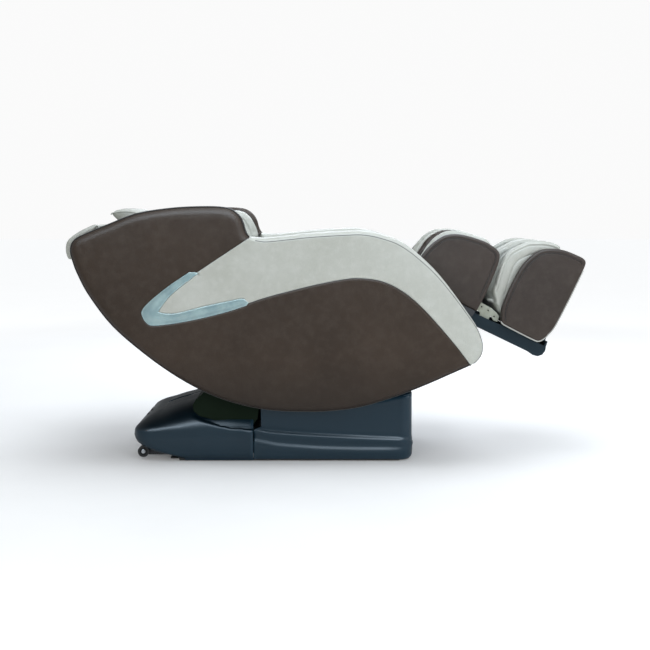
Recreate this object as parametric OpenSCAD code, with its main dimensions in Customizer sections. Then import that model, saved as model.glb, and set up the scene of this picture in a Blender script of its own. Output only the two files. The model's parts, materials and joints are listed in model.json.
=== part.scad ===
// Reclining massage chair: a swinging seat capsule on a floor base,
// with a lifting calf rest and a sliding foot rest.
// +X points to the feet, +Y to the sitter's left, +Z up.
// The origin is the centre of the four floor-plate holes, on the floor.

/* [Overall] */
// Height of the capsule datum above the floor
datum_z = 12; // [10:1:16]
// Half width at the outside of the leather side panels
panel_y = 376; // [370:1:378]
// Thickness of one side panel with its rim
panel_t = 54; // [48:1:54]
// Skin thickness of a side panel behind its pocket
panel_skin = 18; // [12:1:24]
// How far the side lamp stands proud of the leather
lamp_proud = 4; // [2:0.5:5]

/* [Base] */
// Half width of the base cover
base_y = 290; // [284:1:296]
// Wall thickness of the base cover
base_wall = 5; // [4:0.5:6]
// X position of the joint between the two base covers
base_split = -87; // [-95:1:-80]
// Distance between the floor-plate holes along X
anchor_dx = 720; // [700:10:730]
// Distance between the floor-plate holes along Y
anchor_dy = 400; // [380:10:420]
// Radius of a floor-plate hole
anchor_r = 5.5; // [5:0.5:6.5]
// Radius of a transport wheel
wheel_r = 21; // [19:1:22]

/* [Recline] */
// X position of the recline pivot
recline_x = 195; // [190:1:200]
// Recline pivot above the capsule datum
recline_z = 330; // [326:1:334]
// Radius of a recline pin
recline_pin_r = 12; // [11:0.5:13]
// Running clearance on a radius
play = 0.06; // [0.03:0.01:0.09]

/* [Leg rest] */
// X position of the knee pivot
knee_x = 625; // [622:1:628]
// Knee pivot above the capsule datum
knee_z = 545; // [542:1:548]
// Slope of the leg rest below horizontal, in degrees
leg_tilt = 26; // [25:0.5:27]
// Half width at the outside of the calf and foot side walls
leg_y = 244.5; // [240:0.5:244.5]
// Thickness of a calf or foot side wall
leg_t = 28; // [26:1:29]

/* [Massage unit] */
// Slope of the backrest, in degrees
back_tilt = 27.2; // [26.5:0.1:28]
// Radius of a massage roller
roller_r = 26; // [22:1:27]
// Width of a massage roller
roller_w = 30; // [24:1:31]
// Radius of the kneading shaft
knead_r = 8; // [7:0.5:9]
// Radius of the lead screw
screw_r = 8; // [7:0.5:9]

/* [Cushions] */
// Thickness of the back cushion
back_t = 75; // [65:1:78]
// Half width of the seat and back cushions
cushion_y = 256; // [250:1:258]

/* [Hidden] */
$fn = 48;

BROWN = "#41362d";
CREAM = "#d8dbd3";
NAVY = "#1f3340";
STEEL = "#8b9094";
BLACK = "#1b1b1c";
LAMP = "#a9cdd6";
ZINC = "#b9bfb4";
DARK = "#2c2f31";
SMOKE = "#141f18";
BOARD = "#3d4a3f";
TAN = "#c9b79c";
RED = "#7a2f2a";

tiny = 0.01;     // small overlap or gap between touching shapes
pin_fit = 0.02;  // clearance on a radius around a fixed pin

// ---- point lists ----
function catmull_rom(before, start, end, after, t) =
  0.5*((2*start) + (end - before)*t + (2*before - 5*start + 4*end - after)*t*t
       + (3*start - before - 3*end + after)*t*t*t);
// Open Catmull-Rom curve through the points, in so many steps per span
function curve(points, steps = 3) = let (last = len(points) - 1) concat(
  [for (i = [0:last-1]) for (k = [0:steps-1])
     catmull_rom(points[max(i-1, 0)], points[i], points[i+1], points[min(i+2, last)], k/steps)],
  [points[last]]);
function without_first(points) = [for (i = [1:len(points)-1]) points[i]];
function reversed(points) = [for (i = [len(points)-1:-1:0]) points[i]];
function reversed_without_ends(points) = [for (i = [len(points)-2:-1:1]) points[i]];
function grow(points, centre, factor) = [for (p = points) centre + (p - centre)*factor];
// Outline of a sheet: the line, and back along the same line shifted
function sheet(points, shift) = concat(points, reversed([for (p = points) p + shift]));
// Closed outline from its half at positive first coordinate
function with_mirror(half) = concat([for (p = half) [-p[0], p[1]]], reversed(half));
function rounded_rect(x0, x1, y, r) = [
  for (corner = [[x1-r, y-r, 0], [x0+r, y-r, 90], [x0+r, r-y, 180], [x1-r, r-y, 270]])
    for (a = [corner[2]:15:corner[2]+90]) [corner[0] + r*cos(a), corner[1] + r*sin(a)]];

// ---- shapes and frames; a place is [x, z] ----
// A plate standing in the XZ plane between two Y values
module slab(y0, y1) translate([0, y1, 0]) rotate([90, 0, 0]) linear_extrude(y1 - y0) children();
module along_x(x0, x1)
  translate([x0, 0, 0]) rotate([90, 0, 90]) linear_extrude(x1 - x0) children();
module y_rod(place, y0, y1, r)
  translate([place[0], y0, place[1]]) rotate([-90, 0, 0]) cylinder(h = y1 - y0, r = r);
module x_rod(x, z, length, r)
  translate([x, 0, z]) rotate([0, 90, 0]) cylinder(h = length, r = r);
// A box from x and z upwards, with its middle at y
module block(x, y, z, size) translate([x, y - size[1]/2, z]) cube(size);
module scale_about(centre, factors) translate(centre) scale(factors) translate(-centre) children();
// The children and their mirror image on the other side
module both_sides() {
  children();
  mirror([0, 1, 0]) children();
}
module capsule() translate([0, 0, datum_z]) children();
// X down along the backrest, Z out of it towards the sitter
module back_axes()
  capsule() translate([-303.5, 0, 544.5]) rotate([0, back_tilt, 0]) children();
// X down along the leg rest, Z out of it
leg_origin = [745, 530];
module leg_axes()
  capsule() translate([leg_origin[0], 0, leg_origin[1]]) rotate([0, leg_tilt, 0]) children();
// A capsule place in the leg rest's frame
function in_leg_axes(place) = let (x = place[0] - leg_origin[0], z = place[1] - leg_origin[1])
  [x*cos(leg_tilt) - z*sin(leg_tilt), x*sin(leg_tilt) + z*cos(leg_tilt)];

recline_pivot = [recline_x, recline_z];               // above the datum
tower_pivot = [recline_x, recline_z + datum_z];       // the same, above the floor
knee = [knee_x, knee_z];

// ---- capsule outlines, [x, z] above the datum ----
WING = [[-714,730],[-722,772],[-706,806],[-655,832],[-575,864],[-515,888],[-455,904],
  [-345,918],[-240,922],[-179,919],[-149,910],[-125,890],[-113,868],[-107,846],[-100,828],
  [-90,814]];
ARM = [[-90,814],[-35,811],[40,818],[125,827],[235,834],[320,835],[405,815],[460,789],
  [515,746],[573,690],[630,620],[688,540],[717,497],[735,455],[739,424],[733,398],
  [718,377],[696,360]];
BELLY = [[696,360],[645,337],[530,286],[418,243],[300,208],[190,194],[100,192],[-15,197],
  [-128,218],[-242,258],[-355,320],[-467,401],[-580,502],[-661,612],[-700,690],[-714,730]];
// Lower edge of the cream arm cover
SEAM = [[-100,580],[-38,601],[47,624],[131,645],[188,657],[244,667],[290,671],[357,665],
  [413,646],[470,611],[527,560],[584,498],[642,430],[696,360]];
// Rear point of the cream arm cover
HORN = [[-90,814],[-291,682],[-414,600],[-440,560],[-425,530],[-340,534],[-100,580]];
LENS = [[-300,694],[-364,652],[-414,614],[-451,582],[-470,559],[-472,541],[-457,514],
  [-430,503],[-349,512],[-258,530],[-167,553],[-100,575],[-92,586],[-109,599],[-122,600],
  [-257,571],[-348,548],[-406,550],[-406,564],[-365,614],[-292,672],[-269,688],[-282,695]];

module shell_2d()
  polygon(concat(curve(WING), without_first(curve(ARM)), without_first(curve(BELLY))));
module cream_2d()
  polygon(concat(curve(ARM), reversed_without_ends(curve(SEAM)), reversed(HORN)));

// ---- base ----
tower_y = 262;               // middle of a pivot tower plate
plate_t = 6;                 // floor plate thickness
tube_y = 160;                // middle of a lengthwise frame tube
tube = 40;                   // side of a frame tube
tube_wall = 3;
deck_z = 49;                 // top of the deck that carries the boxes
wheel_axle = [-499, 30];
wheel_pin_r = 5;
wheel_y = 245;
recline_base = [450, 112];   // recline actuator's pin on the base
actuator_pin_r = 8;
front_screw = [-123, 87];
rear_screw = [-478, 113];
screw_hole_r = 2.6;
window_y = 257;              // inner face of a side window

// Side view, [x, z] above the floor
BASE = [[-505,82],[-515,105],[-516,124],[-508,148],[-464,174],[-374,197],[-303,212],
  [-240,221],[-180,227],[-90,224],[60,222],[250,222],[380,226],[450,238],[492,248],[502,242],
  [503,119],[503,59],[494,40],[472,28],[454,10],[380,4],[0,4],[-369,4],[-372,18],[-471,42]];
// The hollow: a full wall at the top, thinner on the slopes, open at the bottom
BASE_IN = [for (p = BASE)
  [p[0]*0.989, p[1] < 25 ? -6 : p[1] - base_wall*(p[1] > 200 ? 1 : 0.3)]];
// Cross sections of the rear dome and of the front housing, [y, z]
DOME = with_mirror([[300,-30],[300,108],[290,115],[278,133],[240,158],[180,184],[110,206],
  [40,224],[10,229]]);
DOME_IN = with_mirror([[285,-30],[285,108],[273,129],[236,153],[177,179],[108,201],[38,219],
  [8,224]]);
HOUSING = with_mirror([[300,-30],[290,74],[284,88],[274,98],[274,262]]);
HOUSING_IN = with_mirror([[285,-30],[285,71],[279,85],[269,95],[269,262]]);
// Side window, the strip along its upper rear edge and its opening, [x, z]
WINDOW = [[-268,256],[-300,228],[-312,206],[-308,184],[-288,166],[-203,143],[-115,132],
  [-86,136],[-72,158],[-68,190],[-68,228],[-90,232],[-150,236],[-205,252]];
WINDOW_STRIP = [[-268,256],[-300,228],[-306,217],[-302,217],[-297,226],[-266,252]];
WINDOW_CUT = [[-270,300],[-306,240],[-322,206],[-316,176],[-292,156],[-203,132],[-115,121],
  [-80,124],[-60,130],[-60,300]];

module section(rear, front) union() {
  along_x(-600, base_split) polygon(rear);
  along_x(base_split - tiny, 600) polygon(front);
}
module footprint(inset)
  translate([0, 0, -20]) linear_extrude(400)
    polygon(rounded_rect(-517 + inset, 504 - inset, base_y - inset, 62 - inset));
module base_shell() difference() {
  intersection() {
    slab(-base_y, base_y) polygon(BASE);
    footprint(0);
    section(DOME, HOUSING);
  }
  intersection() {
    slab(-base_y + base_wall, base_y - base_wall) polygon(BASE_IN);
    footprint(base_wall);
    section(DOME_IN, HOUSING_IN);
  }
  // lever window and pivot tower slots
  block(120, 0, 200, [190, 120, 60]);
  for (s = [-1, 1]) block(120, s*tower_y, 200, [150, 16, 60]);
}
module base_frame() color(DARK) difference() {
  union() {
    for (s = [-1, 1]) {
      block(-420, s*tube_y, plate_t, [880, tube, tube]);
      for (x = [-anchor_dx/2, anchor_dx/2]) block(x - 40, s*190, 0, [80, 100, plate_t]);
      // pivot tower
      block(130, s*220, plate_t, [130, 92, 8]);
      translate([0, s*tower_y, 0]) slab(-4, 4) union() {
        polygon([[130,8], [260,8], [226,tower_pivot[1]], [164,tower_pivot[1]]]);
        translate(tower_pivot) circle(r = 33);
      }
      // wheel bracket
      block(-412, s*204, 14, [24, 48, 30]);
      block(-511, s*225, 12, [123, 6, 32]);
    }
    for (x = [-420, 0, 420]) block(x, 0, plate_t, [tube, 300, tube]);
    block(-400, 0, deck_z - 3, [440, 300, 3]);
    // recline actuator clevis
    for (s = [-1, 1]) block(424, s*25, 46, [52, 6, 88]);
  }
  for (s = [-1, 1]) {
    block(-430, s*tube_y, plate_t + tube_wall, [900, tube - 2*tube_wall, tube - 2*tube_wall]);
    for (x = [-anchor_dx/2, anchor_dx/2])
      translate([x, s*anchor_dy/2, -1]) cylinder(h = 9, r = anchor_r);
  }
  y_rod(tower_pivot, -280, 280, recline_pin_r + pin_fit);
  y_rod(recline_base, -40, 40, actuator_pin_r + pin_fit);
  y_rod(wheel_axle, -240, 240, wheel_pin_r + pin_fit);
}
module base_cover_rear() color(NAVY) difference() {
  intersection() {
    base_shell();
    block(-600, 0, -50, [600 + base_split, 800, 500]);
  }
  for (s = [-1, 1]) {
    translate([0, s*280, 0]) slab(-24, 24) polygon(WINDOW_CUT);
    // wheel well
    block(-530, s*242, -10, [85, 46, 74]);
    // screw holes, the rear one with a recess for its head
    y_rod(rear_screw, s*287 - 14, s*287 + 14, screw_hole_r);
    y_rod(rear_screw, s*292.5 - 7, s*292.5 + 7, 6.5);
    y_rod(front_screw, s*287 - 12, s*287 + 12, screw_hole_r);
  }
  // openings for the power switch and the power module
  block(-530, -60, 116, [30, 24, 24]);
  block(-530, 13, 110, [30, 50, 32]);
}
module base_cover_front() color(NAVY) {
  difference() {
    intersection() {
      base_shell();
      block(base_split + 0.6, 0, -50, [700, 800, 500]);
    }
    block(-95, 0, 126, [40, 800, 200]);
  }
  // wall across the rear end
  block(-55, 0, 122, [4, 540, 97]);
}
module base_windows() color(SMOKE) {
  both_sides() slab(-window_y - 4, -window_y) polygon(WINDOW);
  slab(-window_y - tiny, window_y + tiny) polygon(WINDOW_STRIP);
}
// A screw on the right side, its head seated at -face_y
module cover_screw(place, face_y, shank) {
  y_rod(place, -face_y, -face_y + shank, 2.5);
  y_rod(place, -face_y - 1.6, -face_y, 6);
}
module cover_screws() color(DARK) both_sides() {
  cover_screw(front_screw, face_y = 290, shank = 12);
  cover_screw(rear_screw, face_y = 285.6, shank = 10.6);
}
module power_module() color(DARK) {
  block(-330, -70, deck_z, [130, 120, 70]);
  block(-512, 13, 112, [36, 46, 28]);
  block(-476, 13, 112, [30, 26, 8]);
}
module control_box() color(BOARD) {
  block(-170, -65, deck_z, [150, 110, 46]);
  for (i = [0:3]) block(-160 + i*34, -4, 60, [22, 12, 16]);
}
module air_pump() color(STEEL) {
  block(-330, 75, deck_z, [120, 110, 64]);
  for (i = [0:2]) translate([-300 + i*30, 75, deck_z + 64]) cylinder(h = 16, r = 6);
}
module base_pins() color(STEEL) {
  both_sides() {
    y_rod(tower_pivot, -267, -247.2, recline_pin_r);
    y_rod(wheel_axle, -262, -222, wheel_pin_r);
  }
  y_rod(recline_base, -28, 28, actuator_pin_r);
}
module wheel(y) difference() {
  y_rod(wheel_axle, y - 11, y + 11, wheel_r);
  y_rod(wheel_axle, y - 12, y + 12, wheel_pin_r + play);
  // ring recess in each face
  for (s = [-1, 1]) translate([0, y + s*12, 0]) difference() {
    y_rod(wheel_axle, -4, 4, wheel_r - 7);
    y_rod(wheel_axle, -5, 5, 9);
  }
}
module transport_wheel_right() color(BLACK) wheel(-wheel_y);
module transport_wheel_left() color(BLACK) wheel(wheel_y);
module power_switch() color(BLACK) intersection() {
  block(-518, -60, 118, [14, 20, 20]);
  y_rod([-506, 128], -70, -50, 12);
}

// ---- recline actuator, from the base pin to the seat lever ----
recline_lever = [221, 225];   // above the floor
recline_rod_r = 10;
recline_length = norm(recline_lever - recline_base);
recline_angle = atan2(recline_lever[1] - recline_base[1], recline_base[0] - recline_lever[0]);
// Origin at the base pin, -X towards the lever
module recline_axes()
  translate([recline_base[0], 0, recline_base[1]]) rotate([0, recline_angle, 0]) children();
module recline_actuator_tube() color(BLACK) recline_axes() difference() {
  union() {
    x_rod(-198, 0, 188, 20);
    y_rod([0, 0], -20, 20, 16);
    block(-150, 0, 12, [110, 36, 34]);
  }
  x_rod(-200, 0, 170, recline_rod_r + play);
  y_rod([0, 0], -21, 21, actuator_pin_r + play);
}
module recline_actuator_rod() color(STEEL) recline_axes() {
  x_rod(-recline_length + 10, 0, recline_length - 60, recline_rod_r);
  y_rod([-recline_length, 0], -10, 10, 14);
}

// ---- seat capsule; outlines are [x, z] above the datum ----
seat_plate_in = 247;    // inner and outer faces of a frame side plate
seat_plate_out = 253;
knee_pin_r = 10;
post_y = 200;           // middle of a backrest post
pad_in = 262;           // inner face of the arm covers and side pads
pad_out = 318;          // outer face of the side pads
seat_mid_y = 210;       // half width of the full-length part of the seat
PLATE = [[-250,340],[-250,300],[0,264],[120,262],[195,285],[262,302],[625,492],[662,520],
  [668,556],[640,588],[600,576],[430,470],[260,400],[100,385]];
LEVER = [[171,330],[205,213],[237,213],[219,330]];
POST = [[-215,320],[-185,320],[-196,470],[-216,480]];
CROSS_TUBES = [[-200,322,14], [recline_x,recline_z,24], [440,461,12]];   // x, z, radius
module seat_frame() color(DARK) capsule() difference() {
  union() {
    both_sides() slab(-seat_plate_out, -seat_plate_in) union() {
      polygon(PLATE);
      translate(recline_pivot) circle(r = 42);
      translate(knee) circle(r = 40);
    }
    for (p = CROSS_TUBES) y_rod(p, -seat_plate_in, seat_plate_in, p[2]);
    for (s = [-1, 1]) translate([0, s*16, 0]) slab(-3, 3) union() {
      polygon(LEVER);
      translate(recline_lever - [0, datum_z]) circle(r = 16);
    }
    // posts up to the backrest rails
    for (s = [-1, 1]) translate([0, s*post_y, 0]) slab(-5, 5) polygon(POST);
    for (s = [-1, 1]) block(-216, s*post_y, 440, [20, 28, 34]);
  }
  for (s = [-1, 1]) y_rod(recline_pivot, s*255 - 8, s*255 + 8, recline_pin_r + play);
  for (s = [-1, 1]) y_rod(knee, s*250 - 8, s*250 + 8, knee_pin_r + pin_fit);
}
// Right panel, pocketed from the inside
module side_panel() color(BROWN) capsule() difference() {
  slab(-panel_y, -panel_y + panel_t) difference() {
    shell_2d();
    cream_2d();
    polygon(LENS);
  }
  slab(-panel_y + panel_skin, -panel_y + panel_t + 1) intersection() {
    scale_about([-60, 540], [0.9, 0.9]) shell_2d();
    difference() {
      shell_2d();
      scale_about([-60, 560], [1.06, 1.1]) cream_2d();
    }
  }
}
module side_panel_right() side_panel();
module side_panel_left() mirror([0, 1, 0]) side_panel();
// Inner part of the armrest, under the arm's top edge
ARM_IN = concat([for (i = [0:15]) ARM[i]], [[690,415],[655,480],[600,555],[520,632],[430,688],
  [340,708],[235,712],[40,700],[-84,695]]);
module arm_cover() color(CREAM) capsule() {
  slab(-panel_y, -panel_y + panel_t) difference() {
    cream_2d();
    polygon(LENS);
  }
  slab(-panel_y + panel_t - tiny, -pad_in) polygon(ARM_IN);
}
module arm_cover_right() arm_cover();
module arm_cover_left() mirror([0, 1, 0]) arm_cover();
// The lens is a little smaller than its opening
module lamp_lens() color(LAMP) capsule()
  slab(-panel_y - lamp_proud, -panel_y + 14) intersection() {
    polygon(LENS);
    polygon(grow(LENS, [-300, 590], 0.995));
  }
module lamp_lens_right() lamp_lens();
module lamp_lens_left() mirror([0, 1, 0]) lamp_lens();
BACK = [[-704,724],[-688,688],[-648,618],[-568,514],[-458,416],[-348,338],[-240,280],
  [-128,242],[-20,230],[60,227]];
module back_cover() color(BROWN) capsule() slab(-320, 320) polygon(sheet(curve(BACK), [7, 6]));
FRONT = [[265,300],[400,360],[480,396],[520,402],[575,422]];
module front_cover() color(BROWN) capsule() slab(-243, 243) polygon(sheet(FRONT, [-3, 7]));
SEAT = [[112,505],[150,484],[200,502],[300,553],[400,606],[450,628],[475,628],[488,605],
  [478,570],[430,540],[300,470],[180,402],[124,410]];
module seat_cushion() color(CREAM) capsule() {
  slab(-seat_mid_y, seat_mid_y) polygon(SEAT);
  // the sides stop short of the front edge
  both_sides() slab(-cushion_y, -seat_mid_y + tiny) intersection() {
    polygon(SEAT);
    translate([0, 300]) square([430, 400]);
  }
}
module back_cushion() color(CREAM) back_axes()
  block(-430, 0, 75, [812, 2*cushion_y, back_t]);
HEAD_END = [[-722,735],[-735,732],[-743,740],[-747,755],[-748,770],[-746,788],[-742,798],
  [-733,808],[-718,819],[-696,833],[-667,847],[-645,856],[-634,856],[-660,804],[-674,796],
  [-700,764],[-712,737]];
module head_end_cover() color(CREAM) capsule() slab(-pad_out, pad_out) polygon(HEAD_END);
SHOULDER = [[-560,826],[-556,852],[-455,890],[-345,906],[-230,912],[-172,908],[-140,888],
  [-118,852],[-102,812],[-102,588]];
module shoulder_pads() color(CREAM) capsule()
  both_sides() slab(-pad_out, -pad_in) polygon(SHOULDER);
HIP = [[-92,640],[-88,688],[40,693],[235,705],[340,701],[428,681],[505,636],[520,600],
  [480,560],[300,460],[160,410],[60,470],[-92,560]];
module hip_pads() color(CREAM) capsule() both_sides() slab(-pad_out, -pad_in) polygon(HIP);
PILLOW = [[-636,897],[-625,907],[-590,910],[-545,906],[-505,893],[-420,850],[-330,800],
  [-292,772],[-288,745],[-300,721],[-606,883]];
module head_pillow() color(CREAM) capsule() slab(-150, 150) polygon(PILLOW);
module knee_pins() color(STEEL) capsule()
  both_sides() y_rod(knee, -seat_plate_out, -238.8, knee_pin_r);

// ---- handset on the left inner side, keys facing the sitter ----
// Key recesses: [x, z] of the corner, then width and height
POWER_KEY = [[157, 664], [24, 16]];
MODE_KEY = [[153, 612], [32, 32]];
key_gap = 0.4;   // around a button in its recess
module key_block(key, y, depth, inset = 0)
  translate([key[0][0] + inset, y, key[0][1] + inset])
    cube([key[1][0] - 2*inset, depth, key[1][1] - 2*inset]);
module remote_body() color(BLACK) capsule() difference() {
  translate([140, 245, 580]) cube([58, 16.5, 118]);
  key_block(POWER_KEY, y = 244, depth = 5);
  key_block(MODE_KEY, y = 244, depth = 5);
}
module remote_power_button() color(RED) capsule()
  key_block(POWER_KEY, y = 243, depth = 4, inset = key_gap);
module remote_mode_button() color(STEEL) capsule()
  key_block(MODE_KEY, y = 243, depth = 4, inset = key_gap);

// ---- massage unit, in the backrest's frame ----
rail_x = -335;             // upper end of the rails
rail_length = 705;
rail_end = rail_x + rail_length;
end_bar_t = 14;
screw_z = -62;
carriage_x = 85;           // half length of the carriage
carriage_y = 143;          // middle of a carriage side plate
knead_axis = [0, 22];
motor_axis = [52, -18];
shaft_pulley_r = 30;
motor_pulley_r = 10;
belt_y = 116;
belt_gap = 0.4;            // between the belt and its pulleys
belt_t = 2;
arm_y = 55;
roller_x = 72;
roller_y = 80;
roller_z = 34;
roller_axle_r = 5;
roller_axle_length = 42;
module track_rails() color(STEEL) back_axes() difference() {
  union() {
    for (s = [-1, 1]) block(rail_x, s*173, -30, [rail_length, 26, 40]);
    for (x = [rail_x, rail_end - end_bar_t]) block(x, 0, -78, [end_bar_t, 372, 48 + tiny]);
  }
  for (s = [-1, 1]) block(rail_x - 1, s*168, -20, [rail_length + 2, 20, 20]);
  x_rod(-340, screw_z, 715, screw_r + play);
}
module travel_motor() color(BLACK) back_axes() x_rod(rail_end + tiny, screw_z, 56, 22);
module lead_screw() color(STEEL) back_axes() x_rod(-333, screw_z, 702, screw_r);
module carriage_frame() color(DARK) back_axes() difference() {
  union() {
    block(-carriage_x, 0, -46, [2*carriage_x, 300, 5]);
    for (s = [-1, 1]) {
      block(-carriage_x, s*carriage_y, -41 - tiny, [2*carriage_x, 6, 53]);
      block(-22, s*carriage_y, 0, [44, 6, 40]);
      // blocks in the rail slots
      for (x = [-80, 50]) block(x, s*160, -19, [30, 30, 18]);
    }
    // lead screw nut
    block(-25, 0, -76, [50, 40, 30 + tiny]);
  }
  y_rod(knead_axis, -150, 150, knead_r + play);
  x_rod(-30, screw_z, 60, screw_r + play);
}
module carriage_motors() color(BLACK) back_axes() for (s = [-1, 1]) {
  y_rod([s*motor_axis[0], motor_axis[1]], s*55 - 45, s*55 + 45, 20);
  block(s*motor_axis[0] - 12, s*55, -41, [24, 60, 8]);
}
module motor_pulley() color(STEEL) back_axes() {
  y_rod(motor_axis, belt_y - 10, belt_y + 10, motor_pulley_r);
  y_rod(motor_axis, 100.5, belt_y - 10 + tiny, 4);
}
module knead_shaft() color(STEEL) back_axes() {
  y_rod(knead_axis, -150, 150, knead_r);
  y_rod(knead_axis, belt_y - 8, belt_y + 8, shaft_pulley_r);
  for (s = [-1, 1]) y_rod(knead_axis, s*100 - 3, s*100 + 3, 14);
}
// side is -1 for right, 1 for left
module massage_arm(side) color(DARK) back_axes() let (y = side*arm_y) difference() {
  union() {
    translate([0, y, 0]) slab(-8, 8) union() {
      translate(knead_axis) circle(r = 18);
      for (s = [-1, 1]) {
        translate([s*roller_x, roller_z]) circle(r = 11);
        polygon([[0,8], [s*roller_x,24], [s*roller_x,44], [0,38]]);
      }
    }
    // roller axles, pointing outwards
    for (s = [-1, 1]) y_rod([s*roller_x, roller_z], side > 0 ? y : y - roller_axle_length,
                            side > 0 ? y + roller_axle_length : y, roller_axle_r);
  }
  y_rod(knead_axis, y - 20, y + 20, knead_r + play);
}
module massage_arm_right() massage_arm(-1);
module massage_arm_left() massage_arm(1);
// end is -1 for upper, 1 for lower
module roller(end, side) color(TAN) back_axes()
  translate([end*roller_x, side*roller_y, roller_z]) rotate([-90, 0, 0])
    rotate_extrude() polygon([
      [roller_axle_r + play, -roller_w/2], [roller_r - 7, -roller_w/2],
      [roller_r - 2, -roller_w/2 + 6], [roller_r, 0], [roller_r - 2, roller_w/2 - 6],
      [roller_r - 7, roller_w/2], [roller_axle_r + play, roller_w/2]]);
module roller_upper_right() roller(-1, -1);
module roller_lower_right() roller(1, -1);
module roller_upper_left() roller(-1, 1);
module roller_lower_left() roller(1, 1);
// Outline around both pulleys, at a distance from them
module belt_loop(distance) hull() {
  translate(knead_axis) circle(r = shaft_pulley_r + distance);
  translate(motor_axis) circle(r = motor_pulley_r + distance);
}
module knead_belt() color(BLACK) back_axes() translate([0, belt_y, 0]) slab(-6, 6) difference() {
  belt_loop(belt_gap + belt_t);
  belt_loop(belt_gap);
}

// ---- leg rest actuator, from the seat to the leg rest's lever ----
leg_base = [290, 400];    // both above the datum
leg_lever = [664, 475];
leg_rod_r = 8;
leg_angle = atan2(leg_lever[1] - leg_base[1], leg_lever[0] - leg_base[0]);
leg_length = norm(leg_lever - leg_base);
module leg_actuator_axes()
  capsule() translate([leg_base[0], 0, leg_base[1]]) rotate([0, -leg_angle, 0]) children();
module legrest_actuator_tube() color(BLACK) leg_actuator_axes() difference() {
  union() {
    x_rod(-14, 0, 296, 16);
    block(10, 0, -4, [90, 34, 40]);
  }
  x_rod(60, 0, 240, leg_rod_r + play);
}
module legrest_actuator_rod() color(STEEL) leg_actuator_axes() {
  x_rod(130, 0, leg_length - 138, leg_rod_r);
  y_rod([leg_length, 0], -8, 8, 13);
}

// ---- leg rest; outlines are [x, z] in its frame ----
knee_in_leg = in_leg_axes(knee);
lever_in_leg = in_leg_axes(leg_lever);
leg_plate_y = 244.5;    // outer face of a frame side plate
slide_y = 190;          // middle of a slide bar
liner_out = 215;        // outer and inner faces of the calf and foot liners
liner_in = 23;
divider_y = 21;         // half width of the dividers
LEG_PLATE = [[-240,4],[-20,4],[-20,-8],[-34,-80],[-62,-94],[-140,-58],[-200,-14],[-240,-6]];
module legrest_frame() color(DARK) leg_axes() difference() {
  union() {
    both_sides() slab(-leg_plate_y, -leg_plate_y + 5) union() {
      polygon(LEG_PLATE);
      translate(knee_in_leg) circle(r = 28);
      translate(lever_in_leg) circle(r = 16);
    }
    block(-240, 0, -1, [220, 480, 5]);
    both_sides() block(-240, -slide_y, -12, [220, 28, 19]);
    both_sides() {
      y_rod(lever_in_leg, -240, -16, 10);
      y_rod(lever_in_leg, -18, -12, 20);
    }
  }
  // slide channels and slots for the brackets
  for (s = [-1, 1]) {
    block(-260, s*slide_y, -13, [260, 16, 16]);
    block(-78, s*209.75, -3, [62, 10.5, 10]);
  }
  for (s = [-1, 1]) y_rod(knee_in_leg, s*242 - 10, s*242 + 10, knee_pin_r + play);
}
CALF = [[-15,6],[-13,60],[-15,110],[-19,170],[-26,212],[-38,233],[-62,242],[-100,246],
  [-150,240],[-200,228],[-240,205],[-268,165],[-286,110],[-290,60],[-281,22],[-262,6]];
// Side walls of the calf and foot rests
module leg_walls(outline)
  leg_axes() both_sides() slab(-leg_y, -leg_y + leg_t) polygon(curve(outline, 2));
module calf_panels() color(BROWN) leg_walls(CALF);
CALF_LINER = [[-72,8],[-72,100],[-74,252],[-100,260],[-150,255],[-205,242],[-248,217],
  [-278,170],[-291,110],[-285,62],[-262,40],[-238,8]];
module calf_liners() color(CREAM) leg_axes() both_sides() difference() {
  slab(-liner_out, -liner_in) polygon(CALF_LINER);
  slab(-183, -55) polygon([[-400,95],[10,95],[10,400],[-400,400]]);
}
module calf_divider() color(CREAM) leg_axes()
  slab(-divider_y, divider_y) polygon(grow(CALF_LINER, [-170, 16], 0.97));
CHASSIS = [[-60,-46],[24,-46],[230,-45],[247,-49],[266,-45],[279,-32],[282,-14],[277,2],
  [274,20],[269.5,20],[269.5,0],[100,0],[60,-2.5],[-60,-4]];
module foot_chassis() color(NAVY) leg_axes() {
  difference() {
    slab(-232, 232) polygon(CHASSIS);
    block(-40, 0, -40, [262, 440, 60]);
    block(-61, 0, -13, [283, 440, 40]);
  }
  // slide bars and the ledges below them
  both_sides() block(-190, -slide_y, -13 - tiny, [240, 12, 15]);
  both_sides() block(-50, -202, -26, [110, 40, 13 + 2*tiny]);
}
BRACKET = [[-15,42],[12,40],[36,39.5],[74,27],[77,3],[60,2],[49,12],[44,12],[44,-12.9],
  [6,-12.9],[6,5],[-4,9],[-15,9]];
BRACKET_HOLES = [[0,28],[28,27],[58,16]];
module slide_brackets() color(ZINC) leg_axes() both_sides() slab(-213, -206) difference() {
  polygon(BRACKET);
  for (p = BRACKET_HOLES) translate(p) circle(r = 3.2);
}
FOOT = [[84,12],[66,50],[59,100],[57,150],[59,217],[71,264],[92,304],[131,331],[176,345],
  [226,349],[252,348],[264,338],[268,310],[270,240],[271,164],[270,80],[262,44],[256,26],
  [243,8],[221,3],[124,4],[92,6]];
module foot_panels() color(BROWN) leg_walls(FOOT);
foot_shaft = [240, 150];
foot_shaft_r = 7;
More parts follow.
